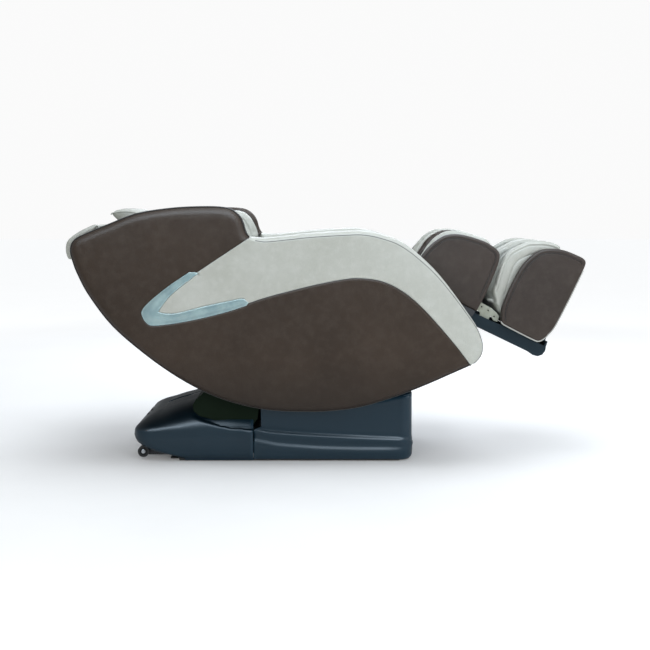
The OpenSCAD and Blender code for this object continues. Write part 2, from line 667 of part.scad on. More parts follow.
// Clears the foot roller shaft
SHAFT_NOTCH = [[219,128],[270,128],[270,172],[219,172]];
FOOT_LINER = [[44,48],[26,68],[4,97],[-2,126],[-10,166],[-14,207],[-10,247],[9,283],[41,319],
  [65,334],[101,351],[142,360],[162,357],[178,342],[245,328],[260,290],[260,30],[100,24]];
module foot_liners() color(CREAM) leg_axes() both_sides() difference() {
  slab(-liner_out, -liner_in) polygon(FOOT_LINER);
  slab(-186, -52) polygon([[-20,66],[205,66],[205,400],[-20,400]]);
  slab(-liner_out - 1, -20) polygon(SHAFT_NOTCH);
}
FOOT_DIVIDER = [[66,44],[34,72],[8,126],[0,207],[6,250],[50,318],[100,350],[150,362],
  [168,358],[182,346],[246,330],[260,290],[260,30],[100,22]];
module foot_divider() color(CREAM) leg_axes() difference() {
  slab(-divider_y, divider_y) polygon(FOOT_DIVIDER);
  slab(-divider_y - 1, divider_y + 1) polygon(SHAFT_NOTCH);
}
module sole_plate() color(NAVY) leg_axes() difference() {
  union() {
    block(261.5, 0, 16, [7, 428, 314]);
    // shaft bearings
    for (y = [-208, 0, 208]) block(226, y, 136, [36, 8, 28]);
  }
  y_rod(foot_shaft, -215, 215, foot_shaft_r + play);
}
module foot_roller_shaft() color(TAN) leg_axes() {
  y_rod(foot_shaft, -214, 214, foot_shaft_r);
  for (y = [-172, -92, 62, 142]) y_rod(foot_shaft, y, y + 30, 17);
}

base_frame();
base_cover_rear();
base_cover_front();
base_windows();
cover_screws();
power_module();
control_box();
air_pump();
base_pins();
transport_wheel_right();
transport_wheel_left();
power_switch();
recline_actuator_tube();
recline_actuator_rod();
seat_frame();
side_panel_right();
side_panel_left();
arm_cover_right();
arm_cover_left();
lamp_lens_right();
lamp_lens_left();
back_cover();
front_cover();
seat_cushion();
back_cushion();
head_end_cover();
shoulder_pads();
hip_pads();
track_rails();
travel_motor();
lead_screw();
carriage_frame();
carriage_motors();
motor_pulley();
knead_shaft();
massage_arm_right();
massage_arm_left();
roller_upper_right();
roller_lower_right();
roller_upper_left();
roller_lower_left();
head_pillow();
legrest_actuator_tube();
legrest_actuator_rod();
knee_pins();
remote_body();
remote_power_button();
remote_mode_button();
legrest_frame();
calf_panels();
calf_liners();
calf_divider();
foot_chassis();
slide_brackets();
foot_panels();
foot_liners();
foot_divider();
sole_plate();
foot_roller_shaft();
knead_belt();
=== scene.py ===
# A reclining massage chair. It faces +X with its head end at -X, its right side at -Y and
# the floor at Z = 0. A padded capsule with a lamp on each side lies on a plastic base, and
# a calf rest and a foot rest slope down from it towards +X.
# Lengths are in mm, in one of the SPACES below, until to_world turns them into metres.
import json
import math

import bmesh
import bpy
import numpy as np
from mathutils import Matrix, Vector, noise
from mathutils.geometry import delaunay_2d_cdt


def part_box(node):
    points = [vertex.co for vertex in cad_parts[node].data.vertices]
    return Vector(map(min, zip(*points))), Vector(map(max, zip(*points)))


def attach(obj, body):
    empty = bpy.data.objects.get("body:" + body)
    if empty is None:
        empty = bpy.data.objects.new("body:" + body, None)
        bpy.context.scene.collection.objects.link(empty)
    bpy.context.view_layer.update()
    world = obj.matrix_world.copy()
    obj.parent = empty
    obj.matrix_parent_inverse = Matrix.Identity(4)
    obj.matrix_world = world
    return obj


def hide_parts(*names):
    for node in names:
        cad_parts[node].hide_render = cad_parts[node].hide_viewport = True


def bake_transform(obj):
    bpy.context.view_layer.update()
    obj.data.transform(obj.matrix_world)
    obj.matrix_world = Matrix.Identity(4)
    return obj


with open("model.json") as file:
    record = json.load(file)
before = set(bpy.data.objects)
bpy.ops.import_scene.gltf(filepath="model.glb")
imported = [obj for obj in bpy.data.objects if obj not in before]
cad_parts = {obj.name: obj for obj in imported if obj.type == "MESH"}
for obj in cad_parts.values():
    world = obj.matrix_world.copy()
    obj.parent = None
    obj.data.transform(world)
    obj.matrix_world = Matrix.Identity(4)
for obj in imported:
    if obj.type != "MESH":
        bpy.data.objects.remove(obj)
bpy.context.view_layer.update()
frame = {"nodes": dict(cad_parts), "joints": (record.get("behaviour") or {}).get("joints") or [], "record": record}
MM = 0.001

# ------------------------------------------------------------------ spaces
JOINTS = {joint["name"]: joint for joint in frame["joints"]}
RECLINE_Z = 330.0                             # recline joint above the capsule's datum
DATUM_Z = JOINTS["recline"]["pos_m"][2]*1000 - RECLINE_Z
leg_axis = JOINTS["foot_extend"]["axis"]
back_axis = JOINTS["carriage_travel"]["axis"]
LEG_SLOPE = math.atan2(-leg_axis[2], leg_axis[0])
BACK_SLOPE = math.atan2(back_axis[2], -back_axis[0])
# origin x, origin z above the datum, slope down towards +X
SPACES = {
    "capsule": (0, 0, 0.0),
    "leg": (745, 530, LEG_SLOPE),
    "back": (-303.5, 544.5, BACK_SLOPE),
    "world": (0, -DATUM_Z, 0.0),
}


def to_world(points, space="capsule"):
    """Points in mm in a space, to metres in the world."""
    x, y, z = np.array(points, float).T
    origin_x, origin_z, slope = SPACES[space]
    cos, sin = math.cos(slope), math.sin(slope)
    return np.column_stack([origin_x + x*cos + z*sin, y,
                            origin_z + DATUM_Z - x*sin + z*cos])*MM


def local_xz(points, space):
    """World points in mm, to x and z in a space."""
    origin_x, origin_z, slope = SPACES[space]
    x = points[:, 0] - origin_x
    z = points[:, 2] - (origin_z + DATUM_Z)
    cos, sin = math.cos(slope), math.sin(slope)
    return x*cos - z*sin, x*sin + z*cos


# ------------------------------------------------------------------ outlines in side view (x, z)
def curve(points, steps=6, closed=False):
    """Catmull-Rom curve through the points."""
    points = np.array(points, float)
    if closed:
        padded = np.vstack([points[-1:], points, points[:2]])
    else:
        padded = np.vstack([points[:1], points, points[-1:]])
    out = []
    for i in range(len(padded) - 3):
        a, b, c, d = padded[i:i+4]
        for k in range(steps):
            t = k/steps
            out.append(0.5*(2*b + (c-a)*t + (2*a-5*b+4*c-d)*t*t + (3*b-a-3*c+d)*t**3))
    if not closed:
        out.append(points[-1])
    return np.array(out)


def join(*parts):
    """One closed outline from several runs of points, without repeated points."""
    out = []
    for part in parts:
        for point in np.array(part, float):
            if not out or np.hypot(*(point - out[-1])) > 0.05:
                out.append(point)
    if np.hypot(*(out[0] - out[-1])) < 0.05:
        out.pop()
    return np.array(out)


def arc_length(points):
    steps = np.linalg.norm(np.diff(np.array(points, float), axis=0), axis=1)
    return np.r_[0, np.cumsum(steps)]


def resample(points, step, closed=True):
    points = np.array(points, float)
    line = np.vstack([points, points[:1]]) if closed else points
    along = arc_length(line)
    count = max(3, int(round(along[-1]/step)))
    stations = np.linspace(0, along[-1], count + 1)
    if closed:
        stations = stations[:-1]
    return np.column_stack([np.interp(stations, along, line[:, k])
                            for k in range(points.shape[1])])


def keep_corners(points, step, corner=25):
    """Resamples a closed loop and keeps corners sharper than the given angle."""
    points = np.array(points, float)
    count = len(points)
    corners = []
    for i in range(count):
        a = points[i] - points[i-1]
        b = points[(i+1) % count] - points[i]
        if abs(math.degrees(math.atan2(a[0]*b[1]-a[1]*b[0], a @ b))) > corner:
            corners.append(i)
    if len(corners) < 2:
        return resample(points, step)
    out = []
    for k, i in enumerate(corners):
        j = corners[(k+1) % len(corners)]
        run = points[i:j+1] if j > i else np.vstack([points[i:], points[:j+1]])
        out.append(resample(run, step, closed=False)[:-1])
    return np.vstack(out)


def ccw(points):
    """The loop, turned anticlockwise if needed."""
    x, y = points[:, 0], points[:, 1]
    area = 0.5*np.sum(x*np.roll(y, -1) - np.roll(x, -1)*y)
    return points if area > 0 else points[::-1]


def path_distance(points, path, closed=False):
    """Distance of each point to a path, worked out for 64 segments at a time."""
    starts = np.array(path, float)
    ends = np.roll(starts, -1, axis=0) if closed else starts[1:]
    if not closed:
        starts = starts[:-1]
    best = np.full(len(points), 1e9)
    for s in range(0, len(starts), 64):
        a, b = starts[s:s+64], ends[s:s+64]
        ab = b - a
        t = np.einsum("ijk,jk->ij", points[:, None] - a[None], ab)
        t = np.clip(t/np.maximum((ab**2).sum(1), 1e-9), 0, 1)
        foot = a[None] + t[..., None]*ab[None]
        best = np.minimum(best, np.sqrt(((points[:, None] - foot)**2).sum(-1)).min(1))
    return best


def inside(points, loop):
    x, y = points[:, 0], points[:, 1]
    result = np.zeros(len(points), bool)
    for (x0, y0), (x1, y1) in zip(loop, np.roll(loop, -1, axis=0)):
        if abs(y1 - y0) > 1e-12:
            spans = (y0 > y) != (y1 > y)
            result ^= spans & (x < (x1-x0)*(y-y0)/(y1-y0) + x0)
    return result


def normals(path, closed=True):
    """Unit normals on the left of a path: inward for an anticlockwise loop."""
    if closed:
        tangent = np.roll(path, -1, axis=0) - np.roll(path, 1, axis=0)
    else:
        tangent = np.gradient(path, axis=0)
    tangent /= np.maximum(np.linalg.norm(tangent, axis=1, keepdims=True), 1e-9)
    return np.column_stack([-tangent[:, 1], tangent[:, 0]])


def offset_path(path, distance):
    """An open path moved to its left."""
    path = np.array(path, float)
    return path + normals(path, closed=False)*distance


def at_y(path, y):
    """A side-view path as 3-D points; y is one value or one per point."""
    return np.column_stack([path[:, 0], np.broadcast_to(y, len(path)), path[:, 1]])


def triangulate(outline, insets, grid, paths=()):
    """Triangles with rows along the border and beside paths, and a staggered grid between.

    Gives points, triangles, the border's point numbers and distances to the border."""
    border = ccw(np.array(outline, float))
    inward = normals(border)
    groups = [border]
    for inset in insets:
        row = border + inward*inset
        clear = path_distance(row, border, closed=True) > inset*0.93
        groups.append(row[inside(row, border) & clear])
    for path in paths:
        for offset in (-5.0, -2.2, 0.0, 2.2, 5.0):
            row = offset_path(path, offset)
            clear = path_distance(row, border, closed=True) > 1.5
            groups.append(row[inside(row, border) & clear])
    low, high = border.min(0), border.max(0)
    grid_x = np.arange(low[0] + grid/2, high[0], grid)
    grid_z = np.arange(low[1] + grid/2, high[1], grid*0.866)
    x, z = np.meshgrid(grid_x, grid_z)
    x = x + (np.arange(len(grid_z)) % 2)[:, None]*grid/2
    fill = np.column_stack([x.ravel(), z.ravel()])
    fill = fill[inside(fill, border)]
    fill = fill[path_distance(fill, border, closed=True) > max(insets) + grid*0.45]
    for path in paths:
        fill = fill[path_distance(fill, path) > 5 + grid*0.4]
    count = len(border)
    edges = [(i, (i+1) % count) for i in range(count)]
    points, _, cells, sources, _, _ = delaunay_2d_cdt(
        [Vector(v) for v in np.vstack([*groups, fill])], edges, [], 1, 1e-4)
    points = np.array([list(v) for v in points])
    cells = np.array([cell for cell in cells if len(cell) == 3], int)
    cells = cells[inside(points[cells].mean(1), border)]
    t = points[cells]
    turn = ((t[:, 1, 0]-t[:, 0, 0])*(t[:, 2, 1]-t[:, 0, 1])
            - (t[:, 2, 0]-t[:, 0, 0])*(t[:, 1, 1]-t[:, 0, 1]))
    cells[turn < 0] = cells[turn < 0][:, ::-1]
    number = {k: i for i, originals in enumerate(sources) for k in originals if k < count}
    ring = np.array([number[k] for k in range(count)], int)
    edge = path_distance(points, border, closed=True)
    edge[ring] = 0
    return points, cells, ring, edge


def round_over(distance, radius):
    """Depth of a rounded edge: the radius at the edge, 0 from one radius inwards."""
    distance = np.clip(distance, 0, radius)
    return radius - np.sqrt(np.maximum(radius*radius - (radius-distance)**2, 0))


def noise_at(x, y, z):
    return np.array([noise.noise(Vector(p)) for p in zip(*np.broadcast_arrays(x, y, z))])


# ------------------------------------------------------------------ faces
def quads(rows, columns, wrap=False, flip=False, start=0):
    """Faces of a grid of vertices; wrap joins the last column to the first."""
    faces = []
    for i in range(rows - 1):
        for j in range(columns if wrap else columns - 1):
            k = (j+1) % columns
            a, b = start + i*columns + j, start + (i+1)*columns + j
            c, d = start + (i+1)*columns + k, start + i*columns + k
            faces.append((a, d, c, b) if flip else (a, b, c, d))
    return faces


def rod_faces(rings, sides, start=0):
    """Faces of a rod with both ends closed."""
    last = start + (rings-1)*sides
    return quads(rings, sides, wrap=True, flip=True, start=start) + [
        range(start, start + sides)[::-1], range(last, last + sides)]


def wall_faces(ring, skin_size, rows):
    """Wall between the borders of two skins; its inner loops follow the skins' vertices."""
    size = len(ring)
    loops = [ring]
    for j in range(rows - 1):
        loops.append(2*skin_size + j*size + np.arange(size))
    loops.append(ring + skin_size)
    return [(a[i], b[i], b[(i+1) % size], a[(i+1) % size])
            for a, b in zip(loops, loops[1:]) for i in range(size)]


def twin_grid(rows, columns):
    """Faces of two facing grid skins, and the border's vertex numbers."""
    skin_size = rows*columns
    faces = []
    for face in quads(rows, columns):
        faces += [face, tuple(k + skin_size for k in face[::-1])]
    at = np.arange(skin_size).reshape(rows, columns)
    ring = np.concatenate([at[:, 0], at[-1, 1:], at[-2::-1, -1], at[0, -2:0:-1]])
    return faces, ring


# ------------------------------------------------------------------ meshes
def shade_smooth(data):
    data.polygons.foreach_set("use_smooth", [True]*len(data.polygons))


def mesh(name, vertices, faces):
    data = bpy.data.meshes.new(name)
    data.from_pydata([tuple(v) for v in vertices], [], [tuple(int(k) for k in f) for f in faces])
    data.validate()
    data.update()
    obj = bpy.data.objects.new(name, data)
    bpy.context.scene.collection.objects.link(obj)
    shade_smooth(data)
    return obj


def vertex_data(data, field="co"):
    values = np.zeros(len(data.vertices)*3, np.float64)
    data.vertices.foreach_get(field, values)
    return values.reshape(-1, 3)


def set_points(data, points):
    data.vertices.foreach_set("co", np.asarray(points, np.float64).ravel())
    data.update()


def two_skins(name, flat, cells, ring, skins, rows, swell=0.0, space="capsule"):
    """Solid between two skins (y of each flat point), its wall swelled halfway across."""
    near, far = skins
    points = [at_y(flat, near), at_y(flat, far)]
    outward = -normals(flat[ring])
    for j in range(1, rows):
        t = j/rows
        y = near[ring]*(1-t) + far[ring]*t
        points.append(at_y(flat[ring] + outward*(swell*(1 - (2*t-1)**2)), y))
    count = len(flat)
    faces = [*cells, *(cell[::-1] + count for cell in cells), *wall_faces(ring, count, rows)]
    return mesh(name, to_world(np.vstack(points), space), faces)


def slab(name, outline, span, rounding, *, grid, rows, crown=(0, 0), bulge=0, seams=(),
         space="capsule", step=7, wobble=0.0):
    """Padded slab. Span, rounding and crown are pairs for its -Y and +Y faces.

    Seams are sewn lines sunk 1 mm into the -Y face; rows divide the rim wall."""
    radius = max(rounding)
    insets = sorted({round(radius*k, 2) for k in (0.06, 0.2, 0.42, 0.7, 1.0)})
    border = keep_corners(np.array(outline, float), step)
    flat, cells, ring, edge = triangulate(border, insets, grid, seams)
    skins = []
    for base, sign, radius, rise, lines in zip(span, (1, -1), rounding, crown, (seams, ())):
        depth = round_over(edge, radius)
        depth = depth - rise*(1 - np.exp(-edge/60.0))
        for path in lines:
            depth = depth + np.exp(-(path_distance(flat, path)/2.4)**2)
        if wobble:
            waves = noise_at(flat[:, 0]/70, flat[:, 1]/70, base/50)
            depth = depth + wobble*waves*np.clip(edge/20, 0, 1)
        skins.append(base + sign*depth)
    return two_skins(name, flat, cells, ring, skins, rows, bulge, space)


def tube(name, points, radius, *, sides=8, space="capsule", flat=1.0):
    """Rod along a path of constant y; flat scales its width along Y."""
    centres = to_world(points, space)
    tangents = np.gradient(centres, axis=0)
    tangents /= np.maximum(np.linalg.norm(tangents, axis=1, keepdims=True), 1e-12)
    across = np.array([0, 1.0, 0])
    vertices = []
    for centre, tangent in zip(centres, tangents):
        up = np.cross(tangent, across)
        for k in range(sides):
            angle = 2*math.pi*k/sides
            ray = across*math.cos(angle)*flat + up*math.sin(angle)
            vertices.append(centre + ray*radius*MM)
    return mesh(name, vertices, rod_faces(len(centres), sides))


def stitches(name, points, *, length, gap, radius, space="capsule"):
    """A row of short thread stitches along a path, each thinner at its ends."""
    points = np.array(points, float)
    along = arc_length(points)
    vertices, faces = [], []
    start = 2.0
    while start + length < along[-1]:
        stations = [start, start + length*0.5, start + length]
        thread = np.column_stack([np.interp(stations, along, points[:, k]) for k in range(3)])
        tangent = thread[2] - thread[0]
        tangent /= max(np.linalg.norm(tangent), 1e-9)
        side = np.cross(tangent, [0, 1.0, 0.01])
        side /= max(np.linalg.norm(side), 1e-9)
        up = np.cross(tangent, side)
        faces += rod_faces(3, 6, len(vertices))
        for centre, thickness in zip(thread, (0.55, 1.0, 0.55)):
            for k in range(6):
                ray = side*math.cos(k*math.pi/3) + up*math.sin(k*math.pi/3)
                vertices.append(centre + ray*(radius*thickness))
        start += length + gap
    return mesh(name, to_world(np.array(vertices), space), faces)


# ------------------------------------------------------------------ materials
def scaled(colour, factor):
    return tuple(c*factor for c in colour)


class Shader:
    """A Principled material; inputs take a number, a colour or another node's output."""

    def __init__(self, name):
        self.material = bpy.data.materials.new(name)
        self.material.use_nodes = True
        self.tree = self.material.node_tree
        self.tree.nodes.clear()
        output = self.node("ShaderNodeOutputMaterial")
        self.principled = self.node("ShaderNodeBsdfPrincipled")
        self.feed(output.inputs[0], self.principled.outputs[0])
        self.place = self.node("ShaderNodeTexCoord").outputs["Object"]

    def node(self, kind, **settings):
        node = self.tree.nodes.new(kind)
        for key, value in settings.items():
            setattr(node, key, value)
        return node

    def feed(self, socket, value):
        if isinstance(value, bpy.types.NodeSocket):
            self.tree.links.new(value, socket)
        elif isinstance(value, tuple) and socket.type == "RGBA":
            socket.default_value = (*value, 1)
        else:
            socket.default_value = value

    def fill(self, node, inputs):
        for key, value in inputs.items():
            self.feed(node.inputs[key], value)
        return node

    def surface(self, inputs):
        self.fill(self.principled, inputs)

    def noise(self, scale, detail=3.0, rough=0.5, vector=None, output="Fac"):
        return self.fill(self.node("ShaderNodeTexNoise"), {
            "Scale": scale, "Detail": detail, "Roughness": rough,
            "Vector": vector or self.place}).outputs[output]

    def remap(self, source, over, to=(0.0, 1.0)):
        """Maps the range `over` to the range `to`."""
        inputs = dict(enumerate((source, *over, *to)))
        return self.fill(self.node("ShaderNodeMapRange"), inputs).outputs[0]

    def math(self, operation, a, b):
        node = self.node("ShaderNodeMath", operation=operation)
        return self.fill(node, {0: a, 1: b}).outputs[0]

    def mix(self, factor, a, b):
        node = self.node("ShaderNodeMix", data_type="RGBA", blend_type="MIX")
        return self.fill(node, {0: factor, 6: a, 7: b}).outputs[2]

    def part(self, vector, axis):
        return self.fill(self.node("ShaderNodeSeparateXYZ"), {0: vector}).outputs[axis]

    def bump(self, height, strength, distance, below=None):
        inputs = {"Strength": strength, "Distance": distance, "Height": height}
        if below is not None:
            inputs["Normal"] = below
        return self.fill(self.node("ShaderNodeBump"), inputs).outputs[0]


def leather(name, *, base, light, dark, rough=0.46, sheen=0.15, wear=0.35, spec=0.4, low=None):
    """Pebbled leather, paler on worn ridges, with painted shade darkening its hollows.

    Low is (z from, z to, amount) in metres for painted shade, darkening towards the underside."""
    mat = Shader(name)
    pebbles = mat.node("ShaderNodeTexVoronoi", feature="DISTANCE_TO_EDGE")
    warp = mat.noise(scale=180.0, detail=2.0, output="Color")
    place = mat.node("ShaderNodeMixRGB", blend_type="ADD")
    mat.fill(place, {0: 0.0018, 1: mat.place, 2: warp})
    mat.fill(pebbles, {"Scale": 620.0, "Vector": place.outputs[0]})
    grain = mat.remap(pebbles.outputs["Distance"], over=(0.0, 0.32))
    patches = mat.noise(scale=4.5, detail=4.0, rough=0.55)
    blotches = mat.noise(scale=38.0, detail=5.0, rough=0.6)
    pores = mat.noise(scale=1500.0, detail=2.0)
    colour = mat.mix(mat.remap(patches, over=(0.34, 0.68)), dark, base)
    colour = mat.mix(mat.remap(blotches, over=(0.45, 0.75), to=(0.0, 0.35)), colour, light)
    colour = mat.mix(mat.remap(grain, over=(0.0, 0.35), to=(0.55, 0.0)),
                     colour, scaled(dark, 0.62))
    ridges = mat.node("ShaderNodeNewGeometry").outputs["Pointiness"]
    colour = mat.mix(mat.remap(ridges, over=(0.52, 0.60), to=(0.0, wear)), colour, light)
    # painted shade: hollows and creases mixed towards a darker colour
    colour = mat.mix(mat.remap(ridges, over=(0.40, 0.49), to=(0.5, 0.0)),
                     colour, scaled(dark, 0.55))
    # painted shade: the colour darkens below the top of the low z range
    if low is not None:
        height = mat.part(mat.place, "Z")
        colour = mat.mix(mat.remap(height, over=low[:2], to=(low[2], 0.0)),
                         colour, scaled(dark, 0.35))
    roughness = mat.math(
        "ADD", mat.remap(blotches, over=(0.3, 0.7), to=(rough - 0.05, rough + 0.07)),
        mat.remap(grain, over=(0.0, 0.6), to=(0.10, 0.0)))
    wrinkles = mat.noise(scale=26.0, detail=4.0, rough=0.62)
    relief = mat.bump(wrinkles, strength=0.28, distance=0.0022)
    relief = mat.bump(grain, strength=0.42, distance=0.00035, below=relief)
    relief = mat.bump(pores, strength=0.12, distance=0.0002, below=relief)
    mat.surface({"Base Color": colour, "Roughness": roughness, "Specular IOR Level": spec,
                 "Sheen Weight": sheen, "Sheen Roughness": 0.5, "Normal": relief})
    return mat.material


def plastic(name, *, base, light, rough=0.35, grain=900.0, bump=0.15, spec=0.5, top=None):
    """Grained plastic. Top scales the shine of faces that look up, which are also painted darker: painted shade.
    """
    mat = Shader(name)
    patches = mat.noise(scale=6.0, detail=4.0)
    fine = mat.noise(scale=grain, detail=2.0, rough=0.6)
    scratches = mat.noise(scale=60.0, detail=8.0, rough=0.7)
    colour = mat.mix(mat.remap(patches, over=(0.35, 0.7), to=(0.0, 0.6)), base, light)
    geometry = mat.node("ShaderNodeNewGeometry")
    ridges = mat.remap(geometry.outputs["Pointiness"], over=(0.52, 0.62), to=(0.0, 0.5))
    colour = mat.mix(ridges, colour, tuple(c*1.9 + 0.01 for c in light))
    roughness = mat.remap(scratches, over=(0.3, 0.75), to=(rough - 0.03, rough + 0.06))
    mat.surface({"Roughness": roughness, "Coat Roughness": 0.15, "Specular IOR Level": spec})
    if top is not None:
        up = mat.part(geometry.outputs["Normal"], "Z")
        mat.surface({"Specular IOR Level":
                     mat.remap(up, over=(0.55, 0.92), to=(spec, spec*top))})
        # painted shade: faces that look up are darkened, standing in for the dark capsule above them
        colour = mat.mix(mat.remap(up, over=(0.42, 0.85), to=(0.0, 0.85)),
                         colour, scaled(base, 0.3))
    mat.surface({"Base Color": colour, "Normal": mat.bump(fine, strength=bump, distance=0.0002)})
    return mat.material


def metal(name, *, base, rough=0.35, metallic=1.0, streak=(4.0, 300.0, 4.0), tint=None):
    """Brushed metal with blotches of tint; streak is the brushing's scale along x, y, z."""
    mat = Shader(name)
    mapping = mat.fill(mat.node("ShaderNodeMapping"), {"Scale": streak, "Vector": mat.place})
    brushing = mat.noise(scale=6.0, detail=6.0, rough=0.65, vector=mapping.outputs[0])
    spots = mat.noise(scale=35.0, detail=5.0)
    mat.surface({
        "Base Color": mat.mix(mat.remap(spots, over=(0.4, 0.7), to=(0.0, 0.6)),
                              base, tint or scaled(base, 0.75)),
        "Roughness": mat.remap(brushing, over=(0.3, 0.7), to=(rough - 0.08, rough + 0.14)),
        "Metallic": metallic,
        "Normal": mat.bump(brushing, strength=0.12, distance=0.0002)})
    return mat.material


def lens_material():
    """Cloudy blue-green lens, with painted highlights making its ridges paler."""
    mat = Shader("lamp_lens_mat")
    ridges = mat.node("ShaderNodeNewGeometry").outputs["Pointiness"]
    clouds = mat.noise(scale=18.0, detail=3.0)
    fine = mat.noise(scale=400.0, detail=2.0)
    colour = mat.mix(mat.remap(clouds, over=(0.35, 0.65)),
                     (0.185, 0.285, 0.308), (0.280, 0.395, 0.405))
    # painted highlight: ridges mixed towards a pale blue
    colour = mat.mix(mat.remap(ridges, over=(0.50, 0.56), to=(0.0, 0.8)),
                     colour, (0.45, 0.60, 0.62))
    mat.surface({"Base Color": colour, "Roughness": 0.22, "Subsurface Weight": 0.25,
                 "Subsurface Radius": (0.01, 0.02, 0.025),
                 "Coat Weight": 0.5, "Coat Roughness": 0.1,
                 "Normal": mat.bump(fine, strength=0.05, distance=0.0002)})
    return mat.material


BROWN = leather("brown_leather_mat", base=(0.042, 0.0270, 0.0180), light=(0.066, 0.047, 0.034),
                dark=(0.032, 0.0200, 0.0128), rough=0.40, wear=0.25, sheen=0.02, spec=0.27)
# brown leather with painted shade, darker towards the capsule's underside
BROWN_SIDE_SHADED = leather("side_leather_shaded_mat", base=(0.042, 0.0268, 0.0172),
                     light=(0.066, 0.047, 0.033), dark=(0.032, 0.0198, 0.0122),
                     rough=0.40, wear=0.25, sheen=0.02, spec=0.26, low=(0.20, 0.40, 0.62))
# paler, cooler copy of the brown leather for the leg rest's sides: painted light
BROWN_LEG_LIT = leather("leg_leather_lit_mat", base=(0.046, 0.0340, 0.0275),
                    light=(0.070, 0.0545, 0.0450), dark=(0.035, 0.0255, 0.0205),
                    rough=0.40, wear=0.25, sheen=0.03, spec=0.27)
CREAM = leather("cream_leather_mat", base=(0.50, 0.515, 0.475), light=(0.60, 0.62, 0.58),
                dark=(0.43, 0.44, 0.395), rough=0.42, wear=0.2, sheen=0.08)
CREAM_SEAM = leather("cream_seam_mat", base=(0.16, 0.165, 0.155), light=(0.22, 0.22, 0.21),
                     dark=(0.11, 0.115, 0.105), rough=0.55)
DARK_PIPING = leather("dark_piping_mat", base=(0.016, 0.012, 0.010), light=(0.03, 0.024, 0.02),
                      dark=(0.010, 0.008, 0.007), rough=0.5)
PALE_PIPING = leather("pale_piping_mat", base=(0.42, 0.42, 0.39), light=(0.52, 0.52, 0.49),
                      dark=(0.35, 0.35, 0.32), rough=0.5)
BROWN_THREAD = plastic("brown_thread_mat", base=(0.05, 0.038, 0.03), light=(0.08, 0.062, 0.05),
                       rough=0.6, grain=2500, bump=0.6, spec=0.3)
CREAM_THREAD = plastic("cream_thread_mat", base=(0.40, 0.39, 0.34), light=(0.5, 0.49, 0.44),
                       rough=0.6, grain=2500, bump=0.6, spec=0.3)
# top: painted shade on its faces that look up
NAVY = plastic("navy_plastic_mat", base=(0.0055, 0.0195, 0.0320), light=(0.0070, 0.0235, 0.038),
               rough=0.36, grain=1100, bump=0.05, spec=0.34, top=0.12)
# navy plastic at 0.4 of its brightness: painted shade under the leg rest
CHASSIS_SHADED = plastic("chassis_shaded_plastic_mat", base=(0.0022, 0.0080, 0.0128),
                  light=(0.0030, 0.0100, 0.0155), rough=0.42, grain=1100, bump=0.05, spec=0.20)
WINDOW = plastic("dark_green_plastic_mat", base=(0.0014, 0.0046, 0.0018),
                 light=(0.0026, 0.0068, 0.0030), rough=0.60, grain=800, bump=0.25, spec=0.02)
BLACK = plastic("black_plastic_mat", base=(0.008, 0.008, 0.009), light=(0.016, 0.016, 0.018),
                rough=0.45, grain=700)
GREEN = plastic("circuit_case_mat", base=(0.02, 0.035, 0.025), light=(0.03, 0.05, 0.035),
                rough=0.5, grain=500)
TAN = plastic("roller_plastic_mat", base=(0.45, 0.36, 0.25), light=(0.52, 0.43, 0.31),
              rough=0.4, grain=500)
GREY = plastic("grey_plastic_mat", base=(0.25, 0.26, 0.28), light=(0.34, 0.35, 0.37),
               rough=0.35, grain=700)
RUBBER = plastic("rubber_mat", base=(0.010, 0.010, 0.010), light=(0.02, 0.02, 0.02),
                 rough=0.65, grain=400, bump=0.4, spec=0.3)
PAINT = metal("black_paint_mat", base=(0.022, 0.023, 0.026), rough=0.42, metallic=0.0,
              streak=(60, 60, 60), tint=(0.035, 0.036, 0.04))
STEEL = metal("ground_steel_mat", base=(0.55, 0.56, 0.57), rough=0.28)
ZINC = metal("zinc_plate_mat", base=(0.42, 0.43, 0.36), rough=0.42, metallic=0.85,
             streak=(80, 80, 200), tint=(0.30, 0.30, 0.22))
ALLOY = metal("pump_alloy_mat", base=(0.5, 0.51, 0.52), rough=0.45, streak=(90, 90, 90))
LENS = lens_material()

CAD_MATERIAL = {
    "brown_leather": BROWN, "cream_leather": CREAM, "navy_plastic": NAVY,
    "window_plastic": WINDOW, "lamp_lens": LENS, "frame_steel": PAINT, "bright_steel": STEEL,
    "zinc_plate": ZINC, "black_plastic": BLACK, "circuit_case": GREEN, "pump_alloy": ALLOY,
    "wheel_rubber": RUBBER, "button_grey": GREY, "roller_plastic": TAN,
}
# slot that each material of the built pieces belongs to
SLOT_OF = {
    **dict.fromkeys((BROWN, BROWN_SIDE_SHADED, BROWN_LEG_LIT, DARK_PIPING, BROWN_THREAD), "brown_leather"),
    **dict.fromkeys((CREAM, CREAM_SEAM, PALE_PIPING, CREAM_THREAD), "cream_leather"),
    LENS: "lamp_lens", NAVY: "navy_plastic", RUBBER: "black_plastic", STEEL: "bright_steel",
}


def set_material(obj, material):
    obj.data.materials.clear()
    obj.data.materials.append(material)


for subpart in frame["record"]["subparts"]:
    set_material(frame["nodes"][subpart["node"]], CAD_MATERIAL[subpart["material_slot"]])


def dress(obj, material, body, replaces=""):
    """Gives a piece its material and moving body, and hides the CAD node it stands in for."""
    set_material(obj, material)
    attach(obj, body)
    if replaces:
        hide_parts(replaces)


def mirror_copy(obj, name):
    data = obj.data.copy()
    data.name = name
    set_points(data, vertex_data(data)*[1, -1, 1])
    data.flip_normals()
    data.update()
    copy = bpy.data.objects.new(name, data)
    bpy.context.scene.collection.objects.link(copy)
    return copy


def both_sides(obj, material, body, replaces=""):
    """Makes a piece the right one of a pair; {} in replaces stands for the side."""
    stem = obj.name
    obj.name = obj.data.name = stem + "_right"
    left = mirror_copy(obj, stem + "_left")
    dress(obj, material, body, replaces.format("right"))
    dress(left, material, body, replaces.format("left"))


